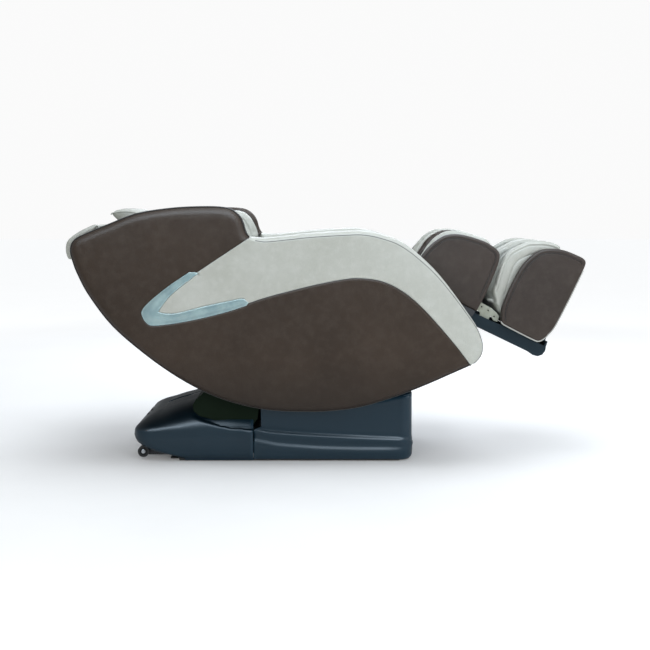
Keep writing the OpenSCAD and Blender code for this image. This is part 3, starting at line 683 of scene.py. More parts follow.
# ------------------------------------------------------------------ capsule sides, outlines
OUTER_Y = -376.0                              # outer face of the capsule's right side
LAMP_TOP = [-291, 682]
LAMP_FOOT = [-109, 599]
WING = [[-714,730], [-722,772], [-706,806], [-655,832], [-575,864], [-515,888], [-455,904],
        [-345,918], [-240,922], [-179,919], [-149,910], [-125,890], [-113,868], [-107,846],
        [-100,828], [-90,814]]
ARM = [[-90,814], [-35,811], [40,818], [125,827], [235,834], [320,835], [405,815], [460,789],
       [515,746], [573,690], [630,620], [688,540], [717,497], [735,455], [739,424], [733,398],
       [718,377], [696,360]]
ARMREST_UNDERSIDE = [[690,415], [655,480], [600,555], [520,632], [430,688], [340,708],
                     [235,712], [40,700], [-84,695]]
BELLY = [[696,360], [645,337], [530,286], [418,243], [300,208], [190,194], [100,192],
         [-15,197], [-128,218], [-242,258], [-355,320], [-467,401], [-580,502], [-661,612],
         [-700,690], [-714,730]]
SHELL_SEAM = [[-100,580], [-38,601], [47,624], [131,645], [188,657], [244,667], [290,671],
              [357,665], [413,646], [470,611], [527,560], [584,498], [642,430], [696,360]]
LENS_OUTER = [[-300,694], [-364,652], [-414,614], [-451,582], [-470,559], [-472,541],
              [-457,514], [-430,503], [-349,512], [-258,530], [-167,553], [-100,575]]
LENS_INNER = [[-122,600], [-257,571], [-348,548], [-406,550], [-406,564], [-365,614],
              [-292,672], [-269,688]]
wing, arm, belly, shell_seam = curve(WING), curve(ARM), curve(BELLY), curve(SHELL_SEAM)
lens_outer, lens_inner = curve(LENS_OUTER, 4), curve(LENS_INNER, 4)
wing_seam = np.array([ARM[0], LAMP_TOP], float)
free_rim = join(belly, wing[:-1])

# the cream panel stops short of the arm's top line by a gap that varies along it
arm_along = arc_length(arm)
arm_gap = np.interp(arm_along/arm_along[-1], [0, 0.05, 0.50, 0.72, 0.9, 1.0],
                    [5.0, 12.0, 12.5, 6.5, 3.0, 0.0])
arm_low = offset_path(arm, -arm_gap[:, None])


# ------------------------------------------------------------------ capsule sides
def side_shell():
    """Brown panel: wing, belly, and up to the lamp and the sewn seams."""
    outline = join(wing, [LAMP_TOP], lens_outer, shell_seam, belly)
    flat, cells, ring, _ = triangulate(keep_corners(outline, 6),
                                       [1.2, 3.5, 7.5, 13.0, 20.0, 28.0], grid=15)
    to_rim = path_distance(flat, free_rim)
    to_seam = np.min([path_distance(flat, seam)
                      for seam in (wing_seam, lens_outer, shell_seam)], axis=0)
    depth = round_over(to_rim, 30.0)
    depth = np.maximum(depth, round_over(to_seam, 4.5)*0.9)
    depth = depth - 1.2*(1 - np.exp(-np.minimum(to_rim, to_seam)/90.0))
    waves = noise_at(flat[:, 0]/120, flat[:, 1]/120, 3.1)
    depth = depth + 1.1*waves*np.clip(to_seam/40, 0, 1)
    crease = 34.0                             # from the rim
    depth = depth + 0.5*np.exp(-((to_rim - crease)/5.0)**2)*np.clip(to_seam/8, 0, 1)
    skins = OUTER_Y + depth, np.full(len(flat), OUTER_Y + 54.0) - round_over(to_rim, 10.0)
    swell = np.where(to_rim[ring] < 0.6, 2.6, 0.0)[:, None]
    return two_skins("side_shell", flat, cells, ring, skins, rows=6, swell=swell)


# the side shells take the brown with painted shade towards the underside
both_sides(side_shell(), BROWN_SIDE_SHADED, "seat", "side_panel_{}")

# cream outer panel, from the lamp's V to the knee
arm_panel = join([ARM[0]], arm_low[2:-1], [arm[-1]], shell_seam[::-1][1:], [LAMP_FOOT],
                 lens_inner, [LAMP_TOP])
both_sides(slab("arm_panel", keep_corners(arm_panel, 6), (OUTER_Y + 0.4, OUTER_Y + 50.0),
                (4.5, 6.0), crown=(1.2, 0), grid=15, rows=3, wobble=0.9),
           CREAM, "seat", "arm_cover_{}")

# padded armrest over the panel
armrest = join(curve(ARM[:16], 5), curve([ARM[15]] + ARMREST_UNDERSIDE, 3))
both_sides(slab("armrest_top", armrest, (OUTER_Y + 2.2, -260), (15, 18), crown=(0, 2.5),
                bulge=3.0, grid=16, rows=10, wobble=0.6), CREAM, "seat")

for name, path, y, radius, material in (
        ("arm_seam_cord", arm_low[3:-3], OUTER_Y + 2.4, 1.5, CREAM_SEAM),
        ("shell_seam_cord", shell_seam, OUTER_Y + 3.2, 1.9, DARK_PIPING),
        ("wing_seam_cord", wing_seam, OUTER_Y + 3.2, 1.9, DARK_PIPING)):
    path = resample(path, 8, closed=False)
    both_sides(tube(name, at_y(path, y), radius, sides=6), material, "seat")


def lamp():
    """V-shaped lens, rounded at its edge and rising gently from there."""
    outline = join(lens_outer, [[-92, 586], LAMP_FOOT], lens_inner, [[-282, 695]])
    flat, cells, ring, edge = triangulate(keep_corners(outline, 5, corner=30),
                                          [1.0, 2.6, 5.0, 9.0, 14.0], grid=6)
    rim = 3.0
    near = OUTER_Y + 2.6 + round_over(edge, rim) - rim - np.clip(edge - rim, 0, 18)*0.24
    return two_skins("lamp", flat, cells, ring, (near, np.full(len(flat), OUTER_Y + 13.0)),
                     rows=1)


both_sides(lamp(), LENS, "seat", "lamp_lens_{}")


# ------------------------------------------------------------------ soft goods
def fix_normals(obj):
    edit = bmesh.new()
    edit.from_mesh(obj.data)
    bmesh.ops.remove_doubles(edit, verts=edit.verts, dist=1e-6)
    bmesh.ops.recalc_face_normals(edit, faces=edit.faces)
    edit.to_mesh(obj.data)
    edit.free()
    shade_smooth(obj.data)
    obj.data.update()
    return obj


def bake(obj):
    """Applies the object's modifiers."""
    graph = bpy.context.evaluated_depsgraph_get()
    graph.update()
    data = bpy.data.meshes.new_from_object(obj.evaluated_get(graph))
    obj.modifiers.clear()
    old = obj.data
    obj.data = data
    bpy.data.meshes.remove(old)
    shade_smooth(data)


def puff(obj, reach, voxel=5.5, box=None):
    """Swells a pad with Cloth pressure, by at most reach, and keeps it in a world box."""
    fix_normals(obj)
    remesh = obj.modifiers.new("remesh", "REMESH")
    remesh.mode = "VOXEL"
    remesh.voxel_size = voxel*MM
    remesh.use_smooth_shade = True
    bake(obj)
    start = vertex_data(obj.data)
    cloth = obj.modifiers.new("cloth", "CLOTH")
    for key, value in dict(
            quality=4, mass=0.25, use_pressure=True, uniform_pressure_force=4.0,
            tension_stiffness=16, compression_stiffness=14, shear_stiffness=6,
            bending_stiffness=0.8, time_scale=1.0).items():
        setattr(cloth.settings, key, value)
    cloth.settings.effector_weights.gravity = 0.0
    cloth.collision_settings.use_collision = False
    cloth.collision_settings.use_self_collision = False
    frames = 14
    cloth.point_cache.frame_start = 1
    cloth.point_cache.frame_end = frames + 1
    scene = bpy.context.scene
    for i in range(1, frames + 1):
        scene.frame_set(i)
    graph = bpy.context.evaluated_depsgraph_get()
    swelled = vertex_data(obj.evaluated_get(graph).to_mesh())
    obj.evaluated_get(graph).to_mesh_clear()
    obj.modifiers.clear()
    scene.frame_set(1)
    move = swelled - start
    length = np.linalg.norm(move, axis=1, keepdims=True)
    move *= np.minimum(1.0, reach*MM/np.maximum(length, 1e-9))
    points = start + move
    if box is not None:
        points = np.clip(points, np.array(box[0])*MM, np.array(box[1])*MM)
    set_points(obj.data, points)
    subdivision = obj.modifiers.new("sub", "SUBSURF")
    subdivision.levels = 1
    subdivision.render_levels = 1
    bake(obj)


def groove(obj, lines, depth, width, weight=None):
    """Sinks sewn lines, each a function giving distances of world points in mm to it.

    Weight is a function of points and normals."""
    points = vertex_data(obj.data)
    facing = vertex_data(obj.data, "normal")
    sink = np.zeros(len(points))
    for line in lines:
        d = line(points/MM)
        sink = np.maximum(sink, depth*np.exp(-(d/width)**2)
                          + 0.35*depth*np.exp(-(d/(width*3.6))**2))
    if weight is not None:
        sink = sink*weight(points/MM, facing)
    set_points(obj.data, points - facing*(sink*MM)[:, None])


def seam_lines(paths, space):
    """Distance functions of side-view paths, for groove."""
    return [lambda points, path=path:
            path_distance(np.column_stack(local_xz(points, space)), path) for path in paths]


def ripple(obj, amount, scale, seed):
    """Fine creases in a soft skin."""
    points = vertex_data(obj.data)
    facing = vertex_data(obj.data, "normal")
    x, y, z = (points/MM).T
    waves = noise_at(x/scale + seed, y/scale, z/scale)
    set_points(obj.data, points + facing*(waves*amount*MM)[:, None])


# ------------------------------------------------------------------ capsule upholstery
both_sides(tube("shell_piping", resample(at_y(free_rim, OUTER_Y + 21.0), 9, closed=False), 2.6),
           DARK_PIPING, "seat")

# stitch rows on both sides of the shell seam
for name, offset, y, material in (
        ("seam_thread_brown", -7.0, OUTER_Y - 1.0, BROWN_THREAD),
        ("seam_thread_cream", 7.0, OUTER_Y - 0.7, CREAM_THREAD)):
    path = resample(offset_path(shell_seam[4:-10], offset), 4, closed=False)
    both_sides(stitches(name, at_y(path, y), length=4.2, gap=2.6, radius=0.42),
               material, "seat")


def inner_pad(name, outline, replaces, *, inner_round, bulge, crown, reach, seams, box):
    """Cream pad on the inner side of the capsule, sewn along side-view seams."""
    pad = slab(name, outline, (-319, -266), (5, inner_round), crown=(0, crown), bulge=bulge,
               grid=12, rows=5, wobble=0.6)
    puff(pad, reach, box=box)
    groove(pad, seam_lines(seams, "capsule"), depth=3.0, width=3.0)
    pad.name = name + "_right"
    left = mirror_copy(pad, name + "_left")
    for half in (pad, left):
        dress(half, CREAM, "seat", replaces)


SHOULDER_TOP = [[-560,826], [-556,852], [-455,890], [-345,906], [-230,912], [-172,908],
                [-140,888], [-118,852], [-102,812]]
SHOULDER_BOTTOM = [[-102,588], [-180,640], [-300,700], [-440,768], [-560,826]]
shoulder_front = curve(SHOULDER_TOP[3:])
inner_pad("shoulder_pad", join(curve(SHOULDER_TOP, 4), curve(SHOULDER_BOTTOM, 3)),
          "shoulder_pads", inner_round=18, bulge=3, crown=3, reach=9,
          seams=[offset_path(shoulder_front, k) for k in (-26, -60, -104)],
          box=([-560, -319, 500], [-98, -256, 930]))

HIP_TOP = [[-92,640], [-88,688], [40,693], [235,705], [340,701], [428,681], [505,636],
           [520,600]]
HIP_BOTTOM = [[520,600], [480,560], [300,460], [160,410], [60,470], [-92,560], [-92,640]]
hip_rim = curve(HIP_TOP[2:], 5)
inner_pad("hip_pad", join(curve(HIP_TOP, 4), curve(HIP_BOTTOM, 3)), "hip_pads",
          inner_round=16, bulge=2, crown=4, reach=8,
          seams=[offset_path(hip_rim, k) for k in (-34, -74)],
          box=([-94, -319, 400], [530, -257, 716]))


def seat_cushion():
    """Wedge with a rolled front, sewn along both sides and across its middle panel."""
    outline = [[112,505], [150,484], [200,502], [300,553], [400,606], [450,628], [475,628],
               [488,605], [478,570], [430,540], [300,470], [180,402], [124,410]]
    pad = slab("seat_pad", curve(outline, 3, closed=True), (-250, 250), (14, 14), bulge=5.0,
               grid=14, rows=40)
    puff(pad, reach=16, box=([100, -257, 405], [502, 257, 655]))
    seam_y = 118.0
    slope = math.radians(28)
    pitch = 96.0                              # between the cross seams

    def cross_seams(points):
        along = ((points[:, 0] - 300)*math.cos(slope) + (points[:, 2] - 565)*math.sin(slope)
                 + 20)
        distance = np.abs(along % pitch - pitch/2)
        return np.where(np.abs(points[:, 1]) < seam_y, distance, 99.0)

    def upward(points, facing):
        return np.clip(facing[:, 2]*2.0, 0, 1)

    groove(pad, [lambda points: np.abs(np.abs(points[:, 1]) - seam_y)], 5.0, 4.0, upward)
    groove(pad, [cross_seams], 3.2, 3.6, upward)
    ripple(pad, 0.9, 60, seed=1.7)
    dress(pad, CREAM, "seat", "seat_cushion")


def back_blank():
    """The back cushion's block, with rounded corners and edges, before it swells."""
    x_low, x_high, half_width, bottom, top = -428, 380, 252, 78, 138
    rows, columns, wall_rows = 90, 60, 4
    corner, crown = 40, 7
    x, y = np.meshgrid(np.linspace(x_low, x_high, rows),
                       np.linspace(-half_width, half_width, columns), indexing="ij")
    edge_x = np.minimum(x - x_low, x_high - x)
    edge_y = half_width - np.abs(y)
    cut = np.hypot(np.clip(corner - edge_x, 0, corner), np.clip(corner - edge_y, 0, corner))
    edge = np.maximum(0, corner - cut)
    upper = top - round_over(edge, 28)
    upper = upper + crown*(1 - np.exp(-np.minimum(edge_x, edge_y)/70.0)) - crown
    lower = bottom + round_over(edge, 8)
    points = np.vstack([np.stack([x, y, z], -1).reshape(-1, 3) for z in (upper, lower)])
    faces, ring = twin_grid(rows, columns)
    count = rows*columns
    walls = [points[ring]*(1 - j/wall_rows) + points[ring + count]*(j/wall_rows)
             for j in range(1, wall_rows)]
    return mesh("back_pad", to_world(np.vstack([points, *walls]), "back"),
                faces + wall_faces(ring, count, wall_rows))


def back_cushion():
    """Cushion with two wavy seams lengthwise, cross seams between, and a seam by each edge."""
    pad = back_blank()
    puff(pad, reach=22)
    cos, sin = math.cos(BACK_SLOPE), math.sin(BACK_SLOPE)
    points = vertex_data(pad.data)
    facing = vertex_data(pad.data, "normal")
    x, _ = local_xz(points/MM, "back")
    y = np.abs(points[:, 1]/MM)
    weight = np.clip((facing[:, 0]*sin + facing[:, 2]*cos)*2.2, 0, 1)
    wavy = np.abs(y - (128 - 18*np.cos(x/140.0)))
    cross = np.where(y < 112, np.abs((x + 430) % 116.0 - 58.0), 99.0)
    border = np.abs(y - 226)
    sink = 0
    for distance, depth, width in ((wavy, 6.5, 4.5), (wavy, 2.6, 16), (cross, 3.6, 3.8),
                                   (cross, 1.6, 13), (border, 2.0, 3.5)):
        sink = sink + depth*np.exp(-(distance/width)**2)
    points = points - facing*(sink*weight*MM)[:, None]
    # keep within the cushion's space in the backrest
    _, z = local_xz(points/MM, "back")
    shift = (np.clip(z, 74, 152) - z)*MM
    points[:, 0] += shift*sin
    points[:, 2] += shift*cos
    points[:, 1] = np.clip(points[:, 1], -0.2575, 0.2575)
    set_points(pad.data, points)
    ripple(pad, 0.8, 55, seed=4.2)
    dress(pad, CREAM, "seat", "back_cushion")


def head_end():
    outline = [[-722,735], [-735,732], [-743,740], [-747,755], [-748,770], [-746,788],
               [-742,798], [-733,808], [-718,819], [-696,833], [-667,847], [-645,856],
               [-634,856], [-660,804], [-674,796], [-700,764], [-712,737]]
    pad = slab("head_end_pad", curve(outline, 4, closed=True), (-318, 318), (9, 9), bulge=1.0,
               grid=9, rows=56, step=5)
    puff(pad, reach=5, voxel=4.5, box=([-752, -320, 738], [-610, 320, 905]))
    groove(pad, [lambda points: np.abs(np.abs(points[:, 1]) - 172)], 2.6, 3.0)
    dress(pad, CREAM, "seat", "head_end_cover")


def pillow():
    """Head pillow, sewn lengthwise and across, with a welt on each side."""
    top = [[-625,895], [-620,901], [-605,907], [-584,909], [-556,908], [-520,902], [-420,850],
           [-330,800], [-292,772], [-288,745], [-300,721]]
    bottom = [[-300,724], [-450,800], [-594,872], [-608,882], [-625,895]]
    pad = slab("pillow_pad", join(curve(top, 4), bottom), (-143, 143), (12, 12),
               crown=(2, 2), bulge=4.0, grid=10, rows=26, step=6)
    puff(pad, reach=5, voxel=4.5, box=([-630, -150, 730], [-280, 150, 930]))
    groove(pad, [lambda points: np.abs(np.abs(points[:, 1]) - 96),
                 lambda points: np.abs(points[:, 0] + 478)], 2.6, 3.2)
    ripple(pad, 0.8, 34, seed=9.1)
    dress(pad, CREAM, "pillow", "head_pillow")
    edge = curve([[-622,897], [-616,903], [-590,908], [-556,908], [-515,901]])
    for sign, side in ((-1, "right"), (1, "left")):
        welt = tube("pillow_welt_" + side, at_y(edge - [0, 3], sign*143.0), 2.2)
        dress(welt, CREAM, "pillow")


seat_cushion()
back_cushion()
head_end()
pillow()


# ------------------------------------------------------------------ underside and front covers
UNDERSIDE = [[-704,724], [-688,688], [-648,618], [-568,514], [-458,416], [-348,338],
             [-240,280], [-128,242], [-20,230], [60,227]]
APRON = [[265,300], [400,360], [480,396], [520,402], [575,422]]


def sheet(name, path, half_width, thickness, crown, *, columns, seams_y, seams_along):
    """Padded skin along a side-view path, outward on its right, with sewn grooves.

    Seams are at |y| values and at lengths along the path."""
    path = resample(curve(path, 8), 11, closed=False)
    outward = normals(path, closed=False)*-1.0
    along = arc_length(path)
    outer, inner = [], []
    for point, normal, s in zip(path, outward, along):
        for y in np.linspace(-half_width, half_width, columns):
            end = min(s, along[-1] - s)
            rise = crown*(1-(abs(y)/half_width)**2.2)*min(1.0, end/60 + 0.15)
            rise -= round_over(min(end, half_width-abs(y)), 12)*0.8
            for d in [abs(y) - seam for seam in seams_y] + [s - seam for seam in seams_along]:
                rise -= 3.0*math.exp(-(d/3.2)**2) + 0.3*3.0*math.exp(-(d/13)**2)
            rise += 0.9*noise.noise(Vector((point[0]/60, y/60, point[1]/60)))
            for skin, offset in ((outer, rise), (inner, -thickness)):
                x, z = point + normal*offset
                skin.append((x, y, z))
    faces, ring = twin_grid(len(path), columns)
    faces += wall_faces(ring, len(outer), 1)
    return fix_normals(mesh(name, to_world(outer + inner), faces))


dress(sheet("underside_cover", UNDERSIDE, 318.5, 6, 9, columns=56, seams_y=(118, 250),
            seams_along=(170, 430, 690)), BROWN, "seat", "back_cover")
dress(sheet("front_apron", APRON, 241, 5, 4, columns=40, seams_y=(90,), seams_along=(150,)),
      BROWN, "seat", "front_cover")
underside_edge = offset_path(resample(curve(UNDERSIDE, 8), 9, closed=False), -1.5)
for sign, side in ((-1, "right"), (1, "left")):
    dress(tube("underside_welt_" + side, at_y(underside_edge, sign*319.5), 2.4),
          DARK_PIPING, "seat")

# ------------------------------------------------------------------ calf and foot rests
CALF_SIDE = [[-15,6], [-13,60], [-15,110], [-19,170], [-26,212], [-38,233], [-62,242],
             [-100,246], [-150,240], [-200,228], [-240,205], [-268,165], [-286,110],
             [-290,60], [-281,22], [-262,6]]
CALF_PAD = [[-72,8], [-74,252], [-100,260], [-150,255], [-205,242], [-248,217], [-278,170],
            [-291,110], [-285,62], [-262,40], [-238,8]]
CALF_BED = [[-74,18], [-74,90], [-150,98], [-230,98], [-283,88], [-285,68], [-262,42],
            [-238,18]]
FOOT_SIDE = [[84,12], [66,50], [59,100], [57,150], [59,217], [71,264], [92,304], [131,331],
             [176,345], [226,349], [252,348], [264,338], [268,310], [270,240], [271,164],
             [270,80], [262,44], [256,26], [243,8], [221,3], [124,4], [92,6]]
FOOT_PAD = [[44,48], [26,68], [4,97], [-2,126], [-10,166], [-14,207], [-10,247], [9,283],
            [41,319], [65,334], [101,351], [142,360], [162,357], [178,342], [245,328],
            [260,290], [260,30], [100,24]]
FOOT_HEEL = [[48,50], [30,62], [60,68], [130,69], [205,67], [256,62], [256,34], [100,28]]
FOOT_SOLE = [[206,62], [203,200], [206,334], [243,324], [257,290], [257,180], [257,62]]
# where the pads may lie along the leg rest, so that they stay clear of each other
LEG_RANGE = {"calf": (-np.inf, -77.0), "foot": (-15.0, 259.6)}
PAD_SLOPE = math.radians(26)


def leg_side(part, outline, edge, inward):
    """Side panel with a sewn seam along its edge; inward is the sign of its inner side."""
    name = part + "_side"
    seam = offset_path(edge, 15.0*inward)
    panel = slab(name, outline, (-244.5, -217), (7, 6), crown=(1.6, 0), bulge=1.0,
                 grid=10, rows=5, seams=[seam], space="leg", wobble=0.7)
    # the sides take the paler brown: painted light
    both_sides(panel, BROWN_LEG_LIT, part, part + "_panels")
    cord = tube(name + "_seam", at_y(resample(seam, 5, closed=False), -245.3), 1.2,
                space="leg", sides=6)
    both_sides(cord, DARK_PIPING, part)
    path = resample(offset_path(edge, 19.5*inward), 4, closed=False)
    thread = stitches(name + "_thread", at_y(path, -245.6), length=4.0, gap=2.4, radius=0.4,
                      space="leg")
    both_sides(thread, BROWN_THREAD, part)


def leg_pad(name, outline, span, *, replaces="", material=CREAM, rounding=9, crown=(0, 4),
            bulge=3, reach=7, rows=5, seams=(), creases=0.7, seed=0.0):
    """Swelled pad of the calf or foot rest, whichever its name starts with."""
    body = name.split("_")[0]
    pad = slab(name, outline, span, (rounding, rounding), crown=crown, bulge=bulge, grid=10,
               rows=rows, space="leg", wobble=0.5)
    puff(pad, reach, voxel=5.0)
    low, high = span
    points = vertex_data(pad.data)
    margin = 1.0 if low < -210 else 6         # the outermost pads lie close to the sides
    points[:, 1] = np.clip(points[:, 1], (low - margin)*MM, (high + 6.0)*MM)
    set_points(pad.data, points)
    ripple(pad, creases, 40.0, seed=seed + 5.1)
    if seams:
        groove(pad, seam_lines(seams, "leg"), 2.6, 2.8)
    points = vertex_data(pad.data)/MM
    along = local_xz(points, "leg")[0]
    shift = np.clip(along, *LEG_RANGE[body]) - along
    points[:, 0] += shift*math.cos(PAD_SLOPE)
    points[:, 2] -= shift*math.sin(PAD_SLOPE)
    set_points(pad.data, points*MM)
    both_sides(pad, material, body, replaces)


def divider(part, outline, *, scale, lift, bulge, inset):
    """Wall between the legs: a cream rim with a seam down its middle, and brown sides."""
    centre = outline.mean(0)
    outline = centre + (outline - centre)*scale + [0, lift]
    rim = slab(part + "_divider_rim", outline, (-20.5, 20.5), (7, 7), bulge=bulge, grid=11,
               rows=8, space="leg")
    groove(fix_normals(rim), [lambda points: np.abs(points[:, 1])], 3.0, 2.4,
           lambda points, facing: 1.0 - np.abs(facing[:, 1]))
    dress(rim, CREAM, part, part + "_divider")
    core = ccw(resample(outline, 6))
    core = core + normals(core)*inset
    both_sides(slab(part + "_divider_side", core, (-22.0, -18.5), (2.2, 0.8), crown=(0.4, 0),
                    grid=12, rows=2, space="leg"), BROWN, part)


leg_side("calf", join(curve(CALF_SIDE[:-1], 4), CALF_SIDE[-1:]), curve(CALF_SIDE[1:-1]),
         inward=1)
leg_side("foot", curve(FOOT_SIDE, 4, closed=True), curve(FOOT_SIDE[:12]), inward=-1)

# pale welt along the foot side's lower and outer edge
both_sides(tube("foot_welt", at_y(curve(FOOT_SIDE[12:] + FOOT_SIDE[:1]), -241.5), 2.6,
                space="leg"), PALE_PIPING, "foot")

calf_outline = join(CALF_PAD[:1], curve(CALF_PAD[1:], 4))
calf_seams = [offset_path(curve(CALF_PAD[1:9]), 22)]
leg_pad("calf_outer_pad", calf_outline, (-215, -184), replaces="calf_liners", rounding=11,
        seams=calf_seams)
leg_pad("calf_inner_pad", calf_outline, (-55, -24), rounding=11, seams=calf_seams, seed=3.0,
        material=BROWN)
leg_pad("calf_bed_pad", curve(CALF_BED, 3, closed=True), (-183, -56), crown=(2, 2), bulge=5,
        rows=14, reach=9, seed=6.0, material=BROWN)
divider("calf", calf_outline, scale=0.965, lift=2, bulge=4.0, inset=17)

foot_outline = curve(FOOT_PAD, 4, closed=True)
foot_seams = [offset_path(curve(FOOT_PAD[2:13]), k) for k in (-20, -52)]
leg_pad("foot_outer_pad", foot_outline, (-215, -187), replaces="foot_liners", rounding=12,
        crown=(0, 3), seams=foot_seams, creases=1.5, reach=8)
leg_pad("foot_inner_pad", foot_outline, (-51, -24), rounding=11, crown=(0, 3),
        seams=foot_seams, creases=1.4, seed=2.0, reach=8)
leg_pad("foot_heel_pad", curve(FOOT_HEEL, 3, closed=True), (-186, -52), bulge=4, rows=14,
        seed=4.0, reach=6)
leg_pad("foot_sole_pad", curve(FOOT_SOLE, 3, closed=True), (-186, -52), bulge=4, rows=14,
        seed=8.0, reach=6)
divider("foot", foot_outline, scale=0.955, lift=0, bulge=3.0, inset=16)


# ------------------------------------------------------------------ base covers
def smooth01(t):
    t = np.clip(t, 0, 1)
    return t*t*(3 - 2*t)


def lofted(name, rings):
    """Surface through rings of equal length, open at their ends."""
    return mesh(name, rings.reshape(-1, 3)*MM, quads(*rings.shape[:2], flip=True))


def rear_shell():
    """Dome over the base's rear, open towards +X."""
    radius, x_rear, x_front, half_width = 62.0, -516.0, -88.0, 290.0
    arc = np.linspace(0, math.pi/2, 12)[1:]
    flank = np.linspace(x_rear + radius, x_front, 34)
    # plan: right side to the rear, round it, and back along the left side
    plan = [(x, -half_width) for x in np.linspace(x_front, x_rear + radius, 34)]
    plan += [(x_rear + radius - radius*math.sin(a), -half_width + radius - radius*math.cos(a))
             for a in arc]
    plan += [(x_rear, y) for y in np.linspace(-half_width + radius, half_width - radius, 26)[1:]]
    plan += [(x_rear + radius - radius*math.cos(a), half_width - radius + radius*math.sin(a))
             for a in arc]
    plan += [(x, half_width) for x in flank[1:]]
    x, y = np.array(plan).T

    def top_z(x):
        return np.interp(x, [-520, -480, -440, -400, -350, -303, -240, -180, -88],
                         [140, 152, 162, 178, 191, 206, 217, 224, 225])

    rings = []
    wall_top = 106.0
    for z in [4, 16.5, 19.5, 30, 40, 50, 60, 68, 76, 82, 88, 94, 100, wall_top]:
        rear = np.interp(z, [4, 18, 30, 42, 55, 68, 82, 94, 106],
                         [-372, -376, -434, -478, -504, -520, -528, -531, -530])
        outset = np.interp(z, [4, 17, 19, 40, 60, 80, 95, 112, 120],
                           [-13, -12, -7, -3.5, -1.2, 0, -0.6, -3.4, -6])
        rings.append(np.column_stack([
            -87 + (x + 87)*((-87 - rear)/429.0),
            y + np.sign(y)*outset*np.minimum(1, np.abs(y)/200), np.full(len(x), z, float)]))
    # the dome closes from the wall's top onto a narrower spine
    wall = rings[-1][:, :2]
    spine = np.column_stack([np.clip(wall[:, 0], -440.0, -88), 0.3*wall[:, 1]])
    for angle in np.linspace(0, math.pi/2, 26)[1:]:
        plan = spine + (wall - spine)*math.cos(angle)**0.95
        z = wall_top + (top_z(plan[:, 0]) - wall_top)*math.sin(angle)**0.92
        rings.append(np.column_stack([plan, z]))
    for t in (0.8, 0.6, 0.4, 0.2, 0.0):
        rings.append(np.column_stack([spine[:, 0], spine[:, 1]*t,
                                      top_z(spine[:, 0]) + 3.0*(1 - t*t)]))
    rings = np.array(rings)
    # recess behind the side inserts
    x, y, z = np.moveaxis(rings, -1, 0).copy()
    insert_foot = np.interp(x, [-322, -292, -203, -115, -80], [190, 156, 131, 121, 121])
    recess = (smooth01((x + 318)/26.0)*smooth01((z - insert_foot)/5.0)
              * smooth01((np.abs(y) - 236)/10.0))
    rings[..., 2] = z - recess*14
    rings[..., 1] = np.sign(y)*(np.abs(y) - recess*8)
    return lofted("base_rear_shell", rings)


def smoothed(x, stations, values):
    """Linear table rounded off at its corners by a 70 mm window."""
    grid = np.linspace(-200, 600, 801)
    window = np.hanning(70)
    window /= window.sum()
    padded = np.pad(np.interp(grid, stations, values), 100, mode="edge")
    return np.interp(x, grid, np.convolve(padded, window, mode="same")[100:-100])


FLANK_POINTS = 62                             # along each side of the front housing
HOUSING_REAR = -86.4


def front_shell():
    """Wall round the base's front; gives it and its top ring."""
    radius, x_front, half_width = 40.0, 484.0, 270.0
    arc = np.linspace(0, math.pi/2, 14)[1:]
    flank = np.linspace(HOUSING_REAR, x_front - radius, FLANK_POINTS)
    flank_back = np.linspace(x_front - radius, HOUSING_REAR, FLANK_POINTS)
    centre_x, centre_y = x_front - radius, half_width - radius
    # plan from the right side, round the front, to the left side: x, y, outward x, outward y
    plan = [(x, -half_width, 0.0, -1.0) for x in flank]
    plan += [(centre_x + radius*math.sin(a), -half_width + radius - radius*math.cos(a),
              math.sin(a), -math.cos(a)) for a in arc]
    plan += [(x_front, y, 1.0, 0.0) for y in np.linspace(-centre_y, centre_y, 24)[1:]]
    plan += [(centre_x + radius*math.cos(a), centre_y + radius*math.sin(a),
              math.cos(a), math.sin(a)) for a in arc]
    plan += [(x, half_width, 0.0, 1.0) for x in flank_back[1:]]
    x, y, out_x, out_y = np.array(plan).T
    # heights of the top, the ridge, the groove below it and the lower lip
    top = smoothed(x, [-87, 60, 250, 370, 420, 450, 475, 484],
                   [223, 221, 221, 226, 237, 244, 249, 250])
    ridge = smoothed(x, [-87, -40, 77, 223, 369, 457, 484], [116, 105, 95, 87, 80, 77, 75])
    channel = smoothed(x, [-87, 4, 150, 296, 442, 484], [97, 77, 65, 61, 60, 62])
    lip = smoothed(x, [-87, 4, 150, 296, 442, 470, 484], [68, 51, 41, 37, 37, 44, 50])
    front = smooth01(out_x)
    end = smooth01((x - 400)/70.0)
    # height and outset of each level, from the top down
    levels = [(top, 1.0 + 15*front), (ridge + 17, 1.0 + 15*front + 1.0),
              (ridge - 2, 13.5 + 5.5*front), (channel, 10.0 + 9.0*front + 3*end), (lip, 19.6),
              (np.full(len(x), 20.0), 16.5 + 2*front), (np.full(len(x), 12.0), 13.0 + 3*front),
              (np.full(len(x), 4.5), 8.0 + 2*front)]
    rings = []
    for (z0, out0), (z1, out1), steps in zip(levels, levels[1:], (9, 4, 5, 5, 6, 1, 2)):
        for t in np.linspace(0, 1, steps + 1)[1 if rings else 0:]:
            eased = 0.5 - 0.5*math.cos(math.pi*t)
            z = z0*(1-t) + z1*t
            outset = out0*(1-eased) + out1*eased
            rear_limit = HOUSING_REAR + 31*smooth01((z - 118)/8.0)
            rings.append(np.column_stack([np.maximum(x + out_x*outset, rear_limit),
                                          y + out_y*outset, z]))
    return lofted("base_front_shell", np.array(rings)[::-1]), rings[0]


